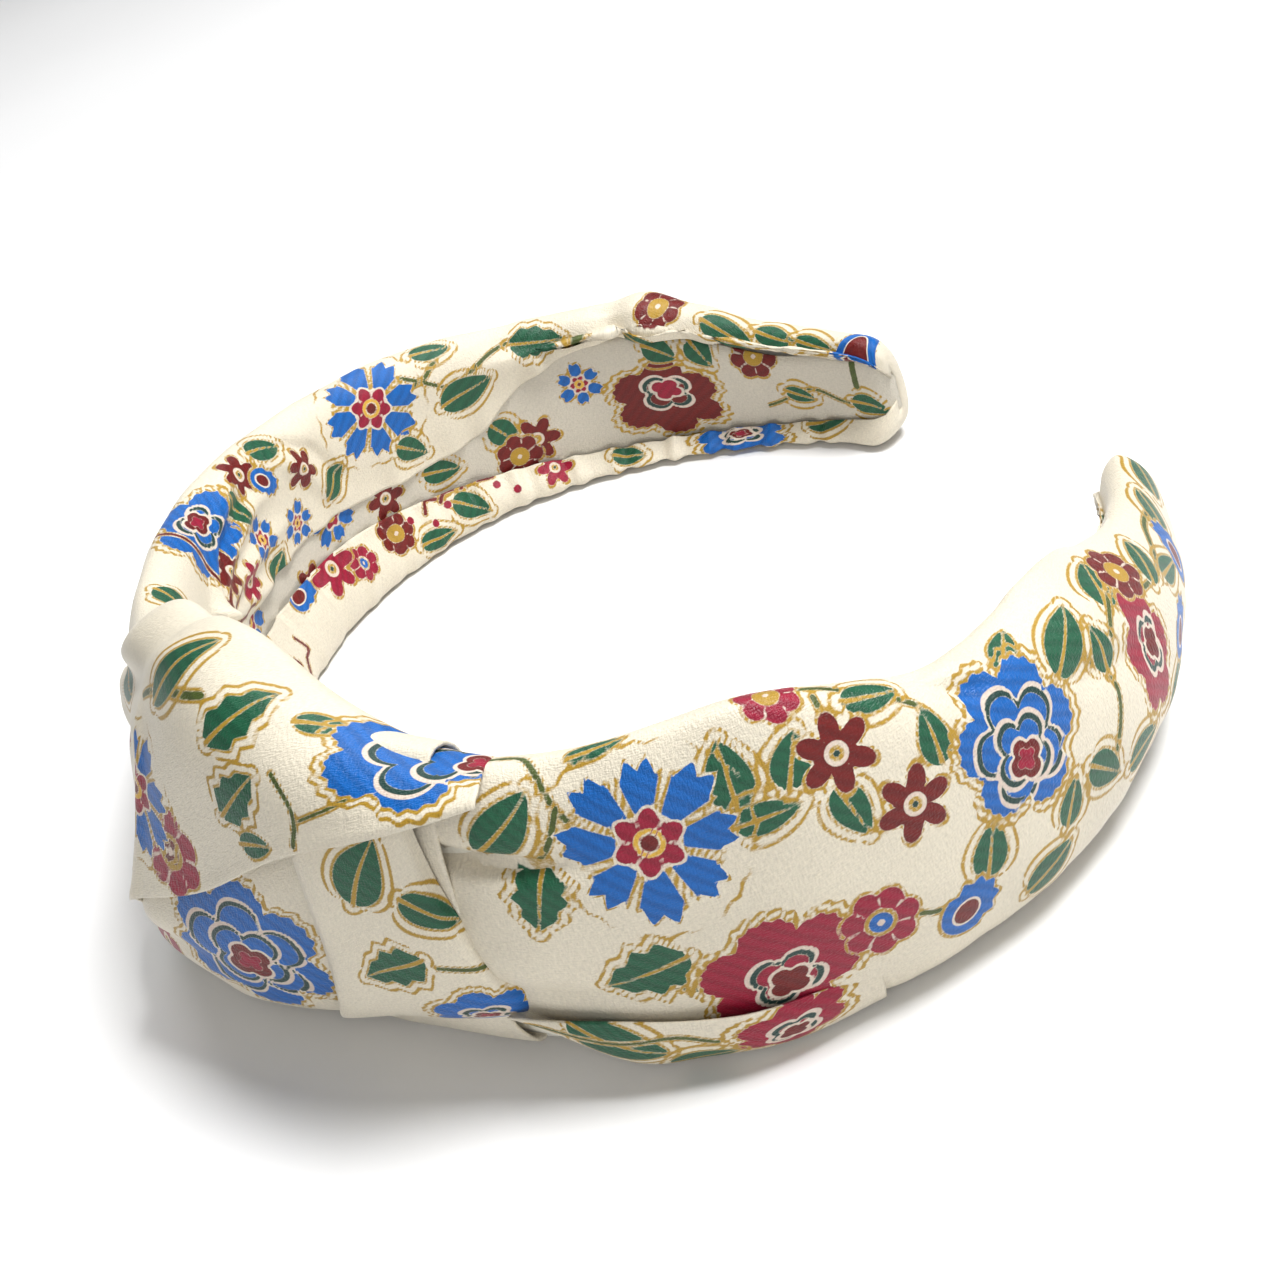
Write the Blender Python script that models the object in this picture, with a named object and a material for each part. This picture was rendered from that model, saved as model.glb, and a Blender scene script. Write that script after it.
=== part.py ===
"""Knotted headband: a curved plastic strip in a thin foam pad, covered in printed satin.

The strip is an ellipse arc seen from above. It lies on its lower edge, so +Z runs across the
band's width, the knot faces -Y and the two open tips point to +Y. The right arm is on +X.
Every piece is drawn in band coordinates: s, the distance along the strip from the middle of the
crown, o, the distance out from the strip's middle surface, and z, the height. All in millimetres,
turned into metres when a mesh is made.
"""

import math

import bmesh
import bpy
import numpy as np

MM = 0.001

# ---- driving dimensions, in millimetres ----
HALF_WIDTH = 72.0        # ellipse half axis across the head
CROWN_LENGTH = 60.5      # ellipse half axis from the widest place to the crown
TIP_LENGTH = 64.0        # ellipse half axis on the tips' side of the widest place
TIP_ANGLE = 2.72         # ellipse angle of the tips, in radians from the middle of the crown
CENTRE_SHIFT = (0.0, 6.92)   # puts the origin under the middle of the whole headband's box

# (distance along the band, height of the cover's upper edge)
LEFT_HEIGHT = [(0.0, 37.0), (55.0, 36.4), (82.0, 33.6), (100.0, 31.6), (120.0, 28.4), (136.0, 25.8),
               (158.0, 21.0), (181.0, 17.5)]
RIGHT_HEIGHT = [(0.0, 37.0), (50.0, 41.5), (72.0, 43.6), (90.0, 43.8), (103.0, 40.4), (117.0, 35.4),
                (136.0, 29.4), (158.0, 23.2), (181.0, 17.8)]
KNOT_TOP = [(-34.0, 38.0), (-15.0, 41.5), (3.0, 46.5), (16.0, 50.5), (28.0, 52.0), (48.0, 48.0), (64.0, 45.0)]

CORE_HALF = 0.8          # half the plastic strip's thickness
CORE_MARGIN = 2.5        # strip edge to the outside of the cover
FOAM = 1.5               # foam thickness at the crown and sides
COVER = 1.0              # cover cloth with its folds, as a soft solid
LINING = 1.0
GAP = 0.3                # clearance between neighbours
BELLY = 2.4              # how far the cover stands off the foam at mid height
BELLY_UNDER_KNOT = 0.96  # the same where the knot presses on it

HINGE_S = 72.0           # where each arm starts to flex
KNOT_LEFT = -34.0
KNOT_RIGHT = 70.5
STATION_STEP = 6.0

SATIN = (0.86, 0.83, 0.76)
SATIN_SHADE = (0.78, 0.74, 0.67)
PLASTIC = (0.80, 0.79, 0.76)
FOAM_COLOUR = (0.90, 0.89, 0.85)


# ---- the ellipse and its length ----
def ellipse_table():
    """Angle and length along the strip's middle surface, from the crown outwards."""
    angle = np.linspace(0.0, math.pi, 4001)
    half_length = np.where(angle < math.pi / 2, CROWN_LENGTH, TIP_LENGTH)
    speed = np.hypot(HALF_WIDTH * np.cos(angle), half_length * np.sin(angle))
    length = np.concatenate([[0.0], np.cumsum((speed[1:] + speed[:-1]) / 2 * np.diff(angle))])
    return angle, length


ANGLES, LENGTHS = ellipse_table()
ARM_END = float(np.interp(TIP_ANGLE, ANGLES, LENGTHS))


def band_point(s, o, z):
    """Band coordinates in millimetres to a point in metres."""
    side = -1.0 if s < 0 else 1.0
    angle = float(np.interp(abs(s), LENGTHS, ANGLES))
    half_length = CROWN_LENGTH if angle < math.pi / 2 else TIP_LENGTH
    tangent = (HALF_WIDTH * math.cos(angle), half_length * math.sin(angle))
    norm = math.hypot(*tangent)
    x = side * (HALF_WIDTH * math.sin(angle) + o * tangent[1] / norm)
    y = -half_length * math.cos(angle) - o * tangent[0] / norm
    return ((x + CENTRE_SHIFT[0]) * MM, (y + CENTRE_SHIFT[1]) * MM, z * MM)


def along(table, s):
    """Value at s from a list of (distance, value) pairs."""
    return float(np.interp(s, [p[0] for p in table], [p[1] for p in table]))


def height(s):
    """Height of the cover's upper edge. The right arm's cloth stands taller."""
    return along(RIGHT_HEIGHT, s) if s > 0 else along(LEFT_HEIGHT, -s)


def core_range(s):
    """Lower and upper edge of the plastic strip: the same on both arms."""
    return CORE_MARGIN, along(LEFT_HEIGHT, abs(s)) - CORE_MARGIN


def belly(s):
    """How far the cover stands off the foam: flatter where the knot presses on it."""
    profile = [(-HINGE_S, BELLY), (KNOT_LEFT, BELLY_UNDER_KNOT), (KNOT_RIGHT - 8.0, BELLY_UNDER_KNOT),
               (HINGE_S, BELLY)]
    return along(profile, s) * taper(s)


def taper(s):
    """1 along the sides, falling towards the tips, where the padding thins out."""
    return float(np.interp(abs(s), [0.0, 140.0, ARM_END], [1.0, 1.0, 0.25]))


def foam_out(s):
    return CORE_HALF + GAP + FOAM * taper(s)


# ---- meshes from cross-sections ----
def stations(start, end, step=STATION_STEP):
    count = max(2, int(math.ceil(abs(end - start) / step)) + 1)
    return [float(v) for v in np.linspace(start, end, count)]


def sweep(name, places, section, colour, roughness):
    """Closed body through one (o, z) outline at every place along the band."""
    mesh = bmesh.new()
    rings = []
    for s in places:
        rings.append([mesh.verts.new(band_point(s, o, z)) for o, z in section(s)])
    for ring, following in zip(rings, rings[1:]):
        for i in range(len(ring)):
            j = (i + 1) % len(ring)
            mesh.faces.new((ring[i], ring[j], following[j], following[i]))
    mesh.faces.new(rings[0])
    mesh.faces.new(list(reversed(rings[-1])))
    return finish(mesh, name, colour, roughness)


def finish(mesh, name, colour, roughness):
    """Faces out, stored as an object with its own material."""
    bmesh.ops.recalc_face_normals(mesh, faces=mesh.faces)
    bmesh.ops.triangulate(mesh, faces=mesh.faces)
    if mesh.calc_volume(signed=True) < 0:
        bmesh.ops.reverse_faces(mesh, faces=mesh.faces)
    data = bpy.data.meshes.new(name)
    mesh.to_mesh(data)
    mesh.free()
    data.set_sharp_from_angle(angle=math.radians(35))
    data.shade_smooth()
    data.materials.append(material(name, colour, roughness))
    part = bpy.data.objects.new(name, data)
    bpy.context.scene.collection.objects.link(part)
    return part


def material(name, colour, roughness):
    paint = bpy.data.materials.new(name)
    paint.use_nodes = True
    shader = paint.node_tree.nodes["Principled BSDF"]
    shader.inputs["Base Color"].default_value = (*colour, 1.0)
    shader.inputs["Roughness"].default_value = roughness
    return paint


def cut(part, cutter):
    """Take the cutter away from the part, and keep it as a hidden wire guide."""
    cutter.hide_render = True
    cutter.display_type = "WIRE"
    modifier = part.modifiers.new("pocket", "BOOLEAN")
    modifier.operation = "DIFFERENCE"
    modifier.solver = "EXACT"
    modifier.object = cutter


def box_section(out_low, out_high, low, high):
    return [(out_low, low), (out_high, low), (out_high, high), (out_low, high)]


# ---- strip, foam and lining, each in a crown piece and two arm pieces ----
def core_section(s):
    low, high = core_range(s)
    return box_section(-CORE_HALF, CORE_HALF, low, high)


def rounded_end(s, end, reach):
    """1 away from the end, then a quarter circle down to a quarter at the end."""
    left = abs(end) - abs(s)
    if left >= reach:
        return 1.0
    return max(0.25, math.sqrt(max(0.0, 1 - (1 - left / reach) ** 2)))


def strip_end(section, end, reach):
    """Narrows a section's height near the end, so that a strip gets a round end."""
    def narrowed(s):
        points = section(s)
        middle = (min(z for _, z in points) + max(z for _, z in points)) / 2
        scale = rounded_end(s, end, reach)
        return [(o, middle + (z - middle) * scale) for o, z in points]
    return narrowed


def end_places(side, start, end, reach):
    """Stations up to a round end, closer together where it curves."""
    straight = stations(start, end - reach)
    curve = [end - reach * (1 - f) for f in (0.35, 0.65, 0.85, 0.96, 1.0)]
    return [side * s for s in straight + curve]


def foam_section(s):
    low, high = core_range(s)
    return box_section(CORE_HALF + GAP, foam_out(s), low, high)


def lining_section(s):
    inner = -(CORE_HALF + GAP + COVER + GAP)
    top = along(LEFT_HEIGHT, abs(s)) - 3.0
    return box_section(inner - LINING, inner, 6.0 * taper(s) + 1.0, top)


def make_layers():
    """The strip, foam and lining are cut at the two flex lines, with a hairline between."""
    cut_s = HINGE_S - GAP / 2
    start = HINGE_S + GAP / 2
    for name, section, end, reach, look in (
        ("core_strip", core_section, ARM_END - 3.0, 5.0, (PLASTIC, 0.4)),
        ("foam_pad", foam_section, ARM_END - 14.0, 3.0, (FOAM_COLOUR, 0.95)),
        ("lining", lining_section, ARM_END - 1.2, 6.0, (SATIN_SHADE, 0.55)),
    ):
        sweep(f"{name}_crown", stations(-cut_s, cut_s), section, *look)
        for arm, side in (("left", -1), ("right", 1)):
            places = end_places(side, start, end, reach)
            sweep(f"{name}_{arm}_arm", places, strip_end(section, end, reach), *look)


# ---- the satin cover: a C round the strip, open on the inside under the lining ----
def cover_outline(s):
    """Outside of the cover: flat below, bellied out, rolled over at the top."""
    top = height(s)
    back = -(CORE_HALF + GAP + COVER)
    face = foam_out(s) + GAP + COVER
    outer = [(0.04, 0.1), (0.14, 0.55), (0.3, 0.92), (0.48, 1.0), (0.68, 0.9), (0.85, 0.55), (0.95, 0.1)]
    points = [(back + 0.7, 0.0), (face - 0.8, 0.0)]
    points += [(face + belly(s) * b, top * h) for h, b in outer]
    points += [(face - 1.0, top - 0.35), (face - 2.0, top), (back + 1.1, top)]
    points += [(back + 0.3, top - 0.9), (back, top - 2.0), (back, 0.9)]
    return points


def fold_depth(s):
    """How far the cover is turned in over the strip's inner face."""
    low, high = core_range(s)
    return min(7.0, 0.28 * (high - low))


def pocket_outline(s):
    """Room for strip and foam, with a slot to the inside between the turned-in edges."""
    low, high = core_range(s)
    fold = fold_depth(s)
    back = -(CORE_HALF + GAP)
    front = foam_out(s) + GAP
    far = back - 6.0
    return [
        (front, low - GAP), (front, high + GAP), (back, high + GAP), (back, high - fold),
        (far, high - fold), (far, low + fold), (back, low + fold), (back, low - GAP),
    ]


def sleeve_section(end):
    """Cover outline that closes to a soft round tip."""
    def section(s):
        scale = rounded_end(s, end, 5.0)
        points = cover_outline(s)
        return [(o * (0.35 + 0.65 * scale), max(0.0, z * (0.5 + 0.5 * scale))) for o, z in points]
    return section


def make_sleeves():
    """One sleeve of cloth on each arm, closed over the tip."""
    start = HINGE_S + GAP / 2
    for arm, side in (("left", -1), ("right", 1)):
        places = end_places(side, start, ARM_END, 5.0)
        sleeve = sweep(f"{arm}_sleeve", places, sleeve_section(ARM_END), SATIN, 0.5)
        pocket_places = [side * s for s in stations(start - 3.0, ARM_END - 2.6)]
        pocket = sweep(f"{arm}_pocket_guide", pocket_places, pocket_outline, SATIN, 0.5)
        cut(sleeve, pocket)


def gathered_section(s):
    """The sleeve's gathered end under the knot, with the pocket as part of one C outline."""
    low, high = core_range(s)
    fold = fold_depth(s)
    back = -(CORE_HALF + GAP)
    front = foam_out(s) + GAP
    outside = cover_outline(s)
    inside = [
        (back - COVER, low + fold), (back, low + fold), (back, low - GAP), (front, low - GAP),
        (front, high + GAP), (back, high + GAP), (back, high - fold), (back - COVER, high - fold),
    ]
    return outside[:-1] + list(reversed(inside)) + outside[-1:]


def make_gathered_ends():
    """Where each sleeve runs in under the knot."""
    cut_s = HINGE_S - GAP / 2
    middle = 12.0
    sweep("left_gathered_end", stations(-cut_s, middle - GAP / 2), gathered_section, SATIN, 0.5)
    sweep("right_gathered_end", stations(middle + GAP / 2, cut_s), gathered_section, SATIN, 0.5)


# ---- the knot ----
UPPER_STRAP = [
    (KNOT_LEFT, 17.5), (-20.0, 14.5), (2.0, 15.0), (20.0, 22.5), (36.0, 31.0), (52.0, 38.4),
    (KNOT_RIGHT, 42.5), (KNOT_RIGHT - 4.0, 44.0), (48.0, 44.6), (28.0, 48.5), (5.0, 48.0),
    (-15.0, 44.0), (KNOT_LEFT, 37.5),
]
LOWER_LOOP = [
    (-30.0, 4.0), (-20.0, 2.0), (10.0, 1.2), (30.0, 2.6), (37.0, 8.0), (37.5, 18.0), (33.0, 28.0),
    (20.0, 20.6), (3.0, 13.4), (-20.0, 12.8), (-30.0, 15.0),
]
MIDDLE_STRAP = [
    (38.5, 7.0), (48.0, 4.0), (62.0, 5.0), (68.0, 9.0), (66.0, 24.0), (58.0, 36.8), (54.0, 37.6),
    (35.0, 28.2), (38.8, 18.0),
]
STRAP_BULGE = [(0.0, 5.5), (20.0, 5.0), (35.0, 3.0), (50.0, 1.8)]
LOOP_BULGE = [(0.0, 7.0), (14.0, 6.6), (28.0, 4.0)]
MIDDLE_BULGE = [(0.0, 2.6), (38.0, 2.4)]
WRAP = 1.2               # thickness of the cloth that goes round the band inside the knot
PAD_LAYERS = [(0.0, 0.25), (0.0, 0.5), (0.0, 0.75), (0.0, 1.0), (0.3, 1.0), (0.75, 0.9),
              (0.95, 0.72), (1.0, 0.5), (1.0, 0.25)]


def knot_front(s):
    """Front of the cover under the knot."""
    return foam_out(s) + GAP + COVER + belly(s)


def wrap_section(s):
    """Cloth that goes from the knot's front over the band's upper edge and down inside."""
    top = along(KNOT_TOP, s)
    cover_top = height(s) + GAP
    back = -(CORE_HALF + GAP + COVER + GAP + LINING + GAP)
    front = knot_front(s) + GAP
    front_low = 0.55 * cover_top
    inside_low = 10.0
    return [
        (back, inside_low), (back, cover_top), (front, cover_top), (front, front_low),
        (front + WRAP, front_low), (front + WRAP, top - 6.0), (front - 0.6, top - 2.0),
        (front - 4.0, top), (back + 1.2, top - 1.0), (back - WRAP, top - 4.5),
        (back - WRAP, inside_low),
    ]


def refine(outline, step):
    """Extra points along an outline's sides, so that it bends with the band."""
    points = []
    for start, end in zip(outline, outline[1:] + outline[:1]):
        count = max(1, int(math.hypot(end[0] - start[0], end[1] - start[1]) / step))
        for i in range(count):
            f = i / count
            points.append((start[0] + (end[0] - start[0]) * f, start[1] + (end[1] - start[1]) * f))
    return points


def pad(name, outline, bulge):
    """Plump fold of cloth over an (s, z) outline, lying on the wrap, thinner at its rim."""
    rim = refine(outline, 5.0)
    middle = np.mean(rim, axis=0)
    mesh = bmesh.new()

    def vertex(level, scale, point):
        s, z = middle + (np.array(point) - middle) * scale
        low = BELLY_UNDER_KNOT + foam_out(0.0) + GAP + COVER + GAP + WRAP + 2 * GAP
        return mesh.verts.new(band_point(float(s), low + along(bulge, z) * level, float(z)))

    rings = [[vertex(level, scale, point) for point in rim] for level, scale in PAD_LAYERS]
    for ring, following in zip(rings, rings[1:]):
        for i in range(len(ring)):
            j = (i + 1) % len(ring)
            mesh.faces.new((ring[i], ring[j], following[j], following[i]))
    for ring, level in ((rings[0], 0.0), (rings[-1], 1.0)):
        hub = vertex(level, 0.0, middle)
        for i in range(len(ring)):
            mesh.faces.new((ring[i], ring[(i + 1) % len(ring)], hub))
    return finish(mesh, name, SATIN, 0.5)


def make_knot():
    pad("knot_upper_strap", UPPER_STRAP, STRAP_BULGE)
    pad("knot_lower_loop", LOWER_LOOP, LOOP_BULGE)
    pad("knot_middle_strap", MIDDLE_STRAP, MIDDLE_BULGE)
    sweep("knot_wrap", stations(KNOT_LEFT + 2.0, KNOT_RIGHT - 8.0), wrap_section, SATIN, 0.5)


def main():
    for old in list(bpy.data.objects):
        bpy.data.objects.remove(old)
    make_layers()
    make_sleeves()
    make_gathered_ends()
    make_knot()


main()
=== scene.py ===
"""Printed satin for the knotted headband: sleeves, hems, lining, knot and the floral print.

Shapes are drawn in band coordinates, in millimetres: s along the strip from the middle of the
crown (the right arm is +), o outwards from the strip's middle surface, z up. The print is painted
on each sheet as signed distances in millimetres, one vertex attribute for each ink.
"""
import math

import bpy
import numpy as np
from mathutils import Matrix, Vector


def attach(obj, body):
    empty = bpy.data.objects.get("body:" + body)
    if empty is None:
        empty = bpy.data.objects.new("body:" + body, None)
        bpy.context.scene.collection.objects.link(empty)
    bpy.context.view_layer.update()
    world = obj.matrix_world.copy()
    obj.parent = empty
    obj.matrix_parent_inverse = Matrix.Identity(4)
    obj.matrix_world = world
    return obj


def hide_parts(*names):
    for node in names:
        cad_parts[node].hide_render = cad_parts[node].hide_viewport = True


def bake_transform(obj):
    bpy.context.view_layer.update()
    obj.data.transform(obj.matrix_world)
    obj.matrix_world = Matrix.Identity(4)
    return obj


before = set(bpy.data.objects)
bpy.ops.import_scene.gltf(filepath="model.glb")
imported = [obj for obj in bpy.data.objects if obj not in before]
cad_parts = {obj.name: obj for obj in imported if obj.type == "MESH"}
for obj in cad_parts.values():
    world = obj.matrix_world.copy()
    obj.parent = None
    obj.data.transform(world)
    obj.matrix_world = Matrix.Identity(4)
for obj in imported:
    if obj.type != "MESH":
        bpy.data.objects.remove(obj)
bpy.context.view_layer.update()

MM = 0.001

# ---- the strip, as in the CAD source ----
HALF_WIDTH = 72.0
CROWN_LENGTH = 60.5
TIP_LENGTH = 64.0
TIP_ANGLE = 2.72
SHIFT_Y = 6.92

CLOTH = 0.35             # cloth thickness
TIP_ROUND = 4.5          # how far from its end a tip starts to round off
TABLE_GAP = 0.05         # no cloth goes below this height
HINGE_S = 72.0           # where each arm is hinged
FLEX_START = 70.0        # where follow_arm works out a point on each arm; the point is not used
FLEX_END = 100.0         # a second such point; no cloth is bent to follow an arm
FLEX_HEIGHT = 18.0       # half way up the band

INKS = ["gold", "green", "stem", "blue", "crimson", "maroon", "dark", "pale", "yellow"]
FAR = 4.0                # "no ink near here", as a distance

# ---- height profiles: (distance along the arm, height) ----
NEAR_TOP = [(46, 39.5), (60, 41.1), (74, 41.1), (85, 41.9), (92, 42.1), (98, 40.7), (104, 38.2),
            (111, 35.5), (118, 33.1), (128, 31.2), (137, 29.6), (150, 25.5), (165, 22.5), (181, 21.5)]
NEAR_ROLL = [(46, 38.0), (75, 39.1), (92, 40.2), (104, 36.7), (112, 33.6), (120, 33.3), (128, 33.6),
             (137, 33.4), (145, 31.0), (153, 26.5), (165, 21.0), (181, 16.8)]
NEAR_BOTTOM = [(46, 1.0), (75, 0.3), (117, 0.3), (128, 1.2), (140, 2.8), (160, 4.5), (181, 5.5)]
FAR_TOP = [(-6, 43.0), (6, 40.6), (18, 38.8), (34, 37.5), (55, 36.6), (82, 33.9), (100, 32.2),
           (120, 29.0), (136, 27.4), (147, 25.0), (158, 20.8), (174, 18.4), (181, 17.8)]
FAR_ROLL = [(-6, 41.0), (6, 39.0), (18, 37.6), (34, 36.5), (60, 35.0), (82, 32.6), (100, 30.5),
            (120, 27.5), (136, 26.5), (145, 24.5), (158, 19.8), (181, 16.8)]
FAR_BOTTOM = [(-6, 1.0), (60, 0.3), (181, 0.3)]
UPPER_HEM = [(-6, 18.0), (20, 17.0), (60, 17.5), (76, 16.5), (87, 14.5), (99, 14.0), (107, 15.0),
             (113, 18.5), (120, 21.4), (132, 22.8), (140, 22.4), (147, 20.6), (160, 17.6), (181, 15.2)]
LOWER_HEM = [(-6, 12.5), (20, 12.5), (60, 12.5), (76, 11.6), (94, 8.9), (111, 6.4), (126, 4.4),
             (144, 3.6), (161, 3.8), (181, 5.2)]


# ---- geometry helpers ----
def ellipse_table():
    angle = np.linspace(0.0, math.pi, 4001)
    half_length = np.where(angle < math.pi / 2, CROWN_LENGTH, TIP_LENGTH)
    speed = np.hypot(HALF_WIDTH * np.cos(angle), half_length * np.sin(angle))
    length = np.concatenate([[0.0], np.cumsum((speed[1:] + speed[:-1]) / 2 * np.diff(angle))])
    return angle, length


ANGLES, LENGTHS = ellipse_table()
ARM_END = float(np.interp(TIP_ANGLE, ANGLES, LENGTHS))


def band_point(s, o, z):
    """Band coordinates (arrays, mm) to points in metres."""
    s, o, z = np.broadcast_arrays(np.asarray(s, float), np.asarray(o, float), np.asarray(z, float))
    side = np.where(s < 0, -1.0, 1.0)
    angle = np.interp(np.abs(s), LENGTHS, ANGLES)
    half_length = np.where(angle < math.pi / 2, CROWN_LENGTH, TIP_LENGTH)
    along = HALF_WIDTH * np.cos(angle)
    across = half_length * np.sin(angle)
    norm = np.hypot(along, across)
    x = side * (HALF_WIDTH * np.sin(angle) + o * across / norm)
    y = -half_length * np.cos(angle) - o * along / norm + SHIFT_Y
    return np.stack([x, y, z], -1) * MM


def smooth(low, high, x):
    t = np.clip((np.asarray(x, float) - low) / (high - low), 0.0, 1.0)
    return t * t * (3.0 - 2.0 * t)


def bump(x, centre, width):
    return np.exp(-((np.asarray(x, float) - centre) / width) ** 2)


def curve(table, x):
    """Smooth value at x through a list of (position, value) pairs."""
    xs, ys = np.array(table, float).T
    slopes = np.gradient(ys, xs)
    k = np.clip(np.searchsorted(xs, x) - 1, 0, len(xs) - 2)
    h = xs[k + 1] - xs[k]
    t = np.clip((x - xs[k]) / h, 0.0, 1.0)
    return ((2 * t ** 3 - 3 * t ** 2 + 1) * ys[k] + (t ** 3 - 2 * t ** 2 + t) * h * slopes[k]
            + (3 * t ** 2 - 2 * t ** 3) * ys[k + 1] + (t ** 3 - t ** 2) * h * slopes[k + 1])


def spline(points, u):
    """Catmull-Rom through points (first axis), at u from 0 to 1."""
    p = np.asarray(points, float)
    p = np.concatenate([2 * p[:1] - p[1:2], p, 2 * p[-1:] - p[-2:-1]])
    x = np.asarray(u) * (len(p) - 3)
    k = np.clip(x.astype(int), 0, len(p) - 4)
    t = (x - k).reshape((-1,) + (1,) * (p.ndim - 1))
    a, b, c, d = p[k], p[k + 1], p[k + 2], p[k + 3]
    return 0.5 * (2 * b + (c - a) * t + (2 * a - 5 * b + 4 * c - d) * t ** 2
                  + (3 * b - a - 3 * c + d) * t ** 3)


def even_across(grid, count):
    """Resample each row of a grid (n, m, k) to count points at even spacing."""
    rows = []
    for row in grid:
        step = np.linalg.norm(np.diff(row, axis=0), axis=1)
        length = np.concatenate([[0.0], np.cumsum(step)])
        at = np.linspace(0.0, length[-1], count)
        rows.append(np.stack([np.interp(at, length, row[:, k]) for k in range(row.shape[1])], -1))
    return np.array(rows)


def path_distance(x, y, points):
    """Distance from (x, y) to an open path, and how far along it from 0 to 1."""
    best = np.full(np.shape(x), 1e9)
    along = np.zeros(np.shape(x))
    pts = np.asarray(points, float)
    for k in range(len(pts) - 1):
        d = pts[k + 1] - pts[k]
        t = np.clip(((x - pts[k][0]) * d[0] + (y - pts[k][1]) * d[1]) / (d @ d), 0.0, 1.0)
        ex = x - pts[k][0] - t * d[0]
        ey = y - pts[k][1] - t * d[1]
        dist = np.hypot(ex, ey)
        closer = dist < best
        best = np.where(closer, dist, best)
        along = np.where(closer, (k + t) / (len(pts) - 1), along)
    return best, along


def grid_normals(points, sign):
    di = np.gradient(points, axis=0)
    dj = np.gradient(points, axis=1)
    normal = np.cross(di, dj)
    return sign * normal / np.maximum(np.linalg.norm(normal, axis=-1, keepdims=True), 1e-12)


def add_object(name, data):
    thing = bpy.data.objects.new(name, data)
    bpy.context.scene.collection.objects.link(thing)
    return thing


# ---- a sheet of cloth ----
class Sheet:
    """A grid of points in band coordinates, its print, and the mesh made from both.

    i runs along the band and j across the cloth, from its lower edge over the outside to its
    upper edge. sign is +1 where i runs towards +s.
    """

    def __init__(self, name, grid, sign=1.0):
        self.name = name
        self.sign = sign
        self.band = grid
        self.points = band_point(grid[..., 0], grid[..., 1], grid[..., 2])
        self.ink = {ink: np.full(self.points.shape[:2], FAR) for ink in INKS}
        self.measure()

    def measure(self):
        p = self.points / MM
        step_j = np.linalg.norm(np.diff(p, axis=1), axis=2)
        self.across = np.concatenate([np.zeros((len(p), 1)), np.cumsum(step_j, axis=1)], axis=1)
        step_i = np.linalg.norm(np.diff(p, axis=0), axis=2).mean(axis=1)
        self.along = np.concatenate([[0.0], np.cumsum(step_i)])

    def push(self, amount):
        """Move the points out along their normals, in millimetres."""
        normals = grid_normals(self.points, self.sign)
        self.points = self.points + normals * (np.asarray(amount)[..., None] * MM)

    def local(self, s, z, face=1, angle=0.0):
        """Flat coordinates (x along the band, y across) around the point nearest (s, z)."""
        o = self.band[..., 1]
        wrong = (o < -1.0) if face > 0 else (o > -2.0)
        away = (self.band[..., 0] - s) ** 2 + (self.band[..., 2] - z) ** 2 + 1e6 * wrong
        i, j = np.unravel_index(np.argmin(away), away.shape)
        p = self.points / MM
        i0, i1 = max(i - 2, 0), min(i + 2, len(p) - 1)
        j0, j1 = max(j - 2, 0), min(j + 2, p.shape[1] - 1)
        vj = (p[i, j1] - p[i, j0]) / max(self.across[i, j1] - self.across[i, j0], 1e-6)
        da = self.along[i1] - self.along[i0]
        vi = (p[i1, j] - p[i0, j] - vj * (self.across[i1, j] - self.across[i0, j])) / da
        e = np.linalg.norm(vi)
        shear = float(vi @ vj) / e
        a = self.along[:, None] - self.along[i]
        b = self.across - self.across[i, j]
        x = e * a + shear * b
        y = math.sqrt(max(1.0 - shear * shear, 0.1)) * b
        c, sn = math.cos(math.radians(angle)), math.sin(math.radians(angle))
        return c * x + sn * y, c * y - sn * x

    def paint(self, ink, distance):
        """Ink where distance < 0, over everything painted there before."""
        for other in INKS:
            if other == ink:
                self.ink[other] = np.minimum(self.ink[other], distance)
            else:
                self.ink[other] = np.maximum(self.ink[other], -distance)

    def build(self, material, slot, step=4):
        n, m = self.points.shape[:2]
        ni, mi = (n - 1) // step + 1, (m - 1) // step + 1
        self.points[..., 2] = np.maximum(self.points[..., 2], TABLE_GAP * MM)
        back = self.points[::step, ::step] - grid_normals(self.points, self.sign)[::step, ::step] \
            * CLOTH * MM
        back[..., 2] = np.maximum(back[..., 2], TABLE_GAP * MM)
        verts = np.concatenate([self.points.reshape(-1, 3), back.reshape(-1, 3)])
        front = np.arange(n * m).reshape(n, m)
        rear = n * m + np.arange(ni * mi).reshape(ni, mi)
        polys = [quads(front), quads(rear)[:, ::-1]]
        polys += rims(front, rear, step)
        if self.sign < 0:
            polys = [p[:, ::-1] for p in polys]
        mesh = mesh_from(self.name, verts, polys)
        mesh.materials.append(material)
        for ink in INKS:
            layer = mesh.attributes.new(ink, 'FLOAT', 'POINT')
            full = np.clip(self.ink[ink], -FAR, FAR)
            layer.data.foreach_set(
                "value", np.concatenate([full.ravel(), full[::step, ::step].ravel()]).astype('f4'))
        u = np.broadcast_to(self.along[:, None], (n, m)) * MM
        v = self.across * MM
        flat = np.stack([u, v], -1)
        every = np.concatenate([flat.reshape(-1, 2), flat[::step, ::step].reshape(-1, 2)])
        index = np.empty(len(mesh.loops), dtype=np.int32)
        mesh.loops.foreach_get("vertex_index", index)
        mesh.uv_layers.new(name="cloth").data.foreach_set("uv", every[index].astype('f4').ravel())
        piece = add_object(self.name, mesh)
        return piece


def quads(index):
    return np.stack([index[:-1, :-1], index[1:, :-1], index[1:, 1:], index[:-1, 1:]],
                    -1).reshape(-1, 4)


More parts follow.
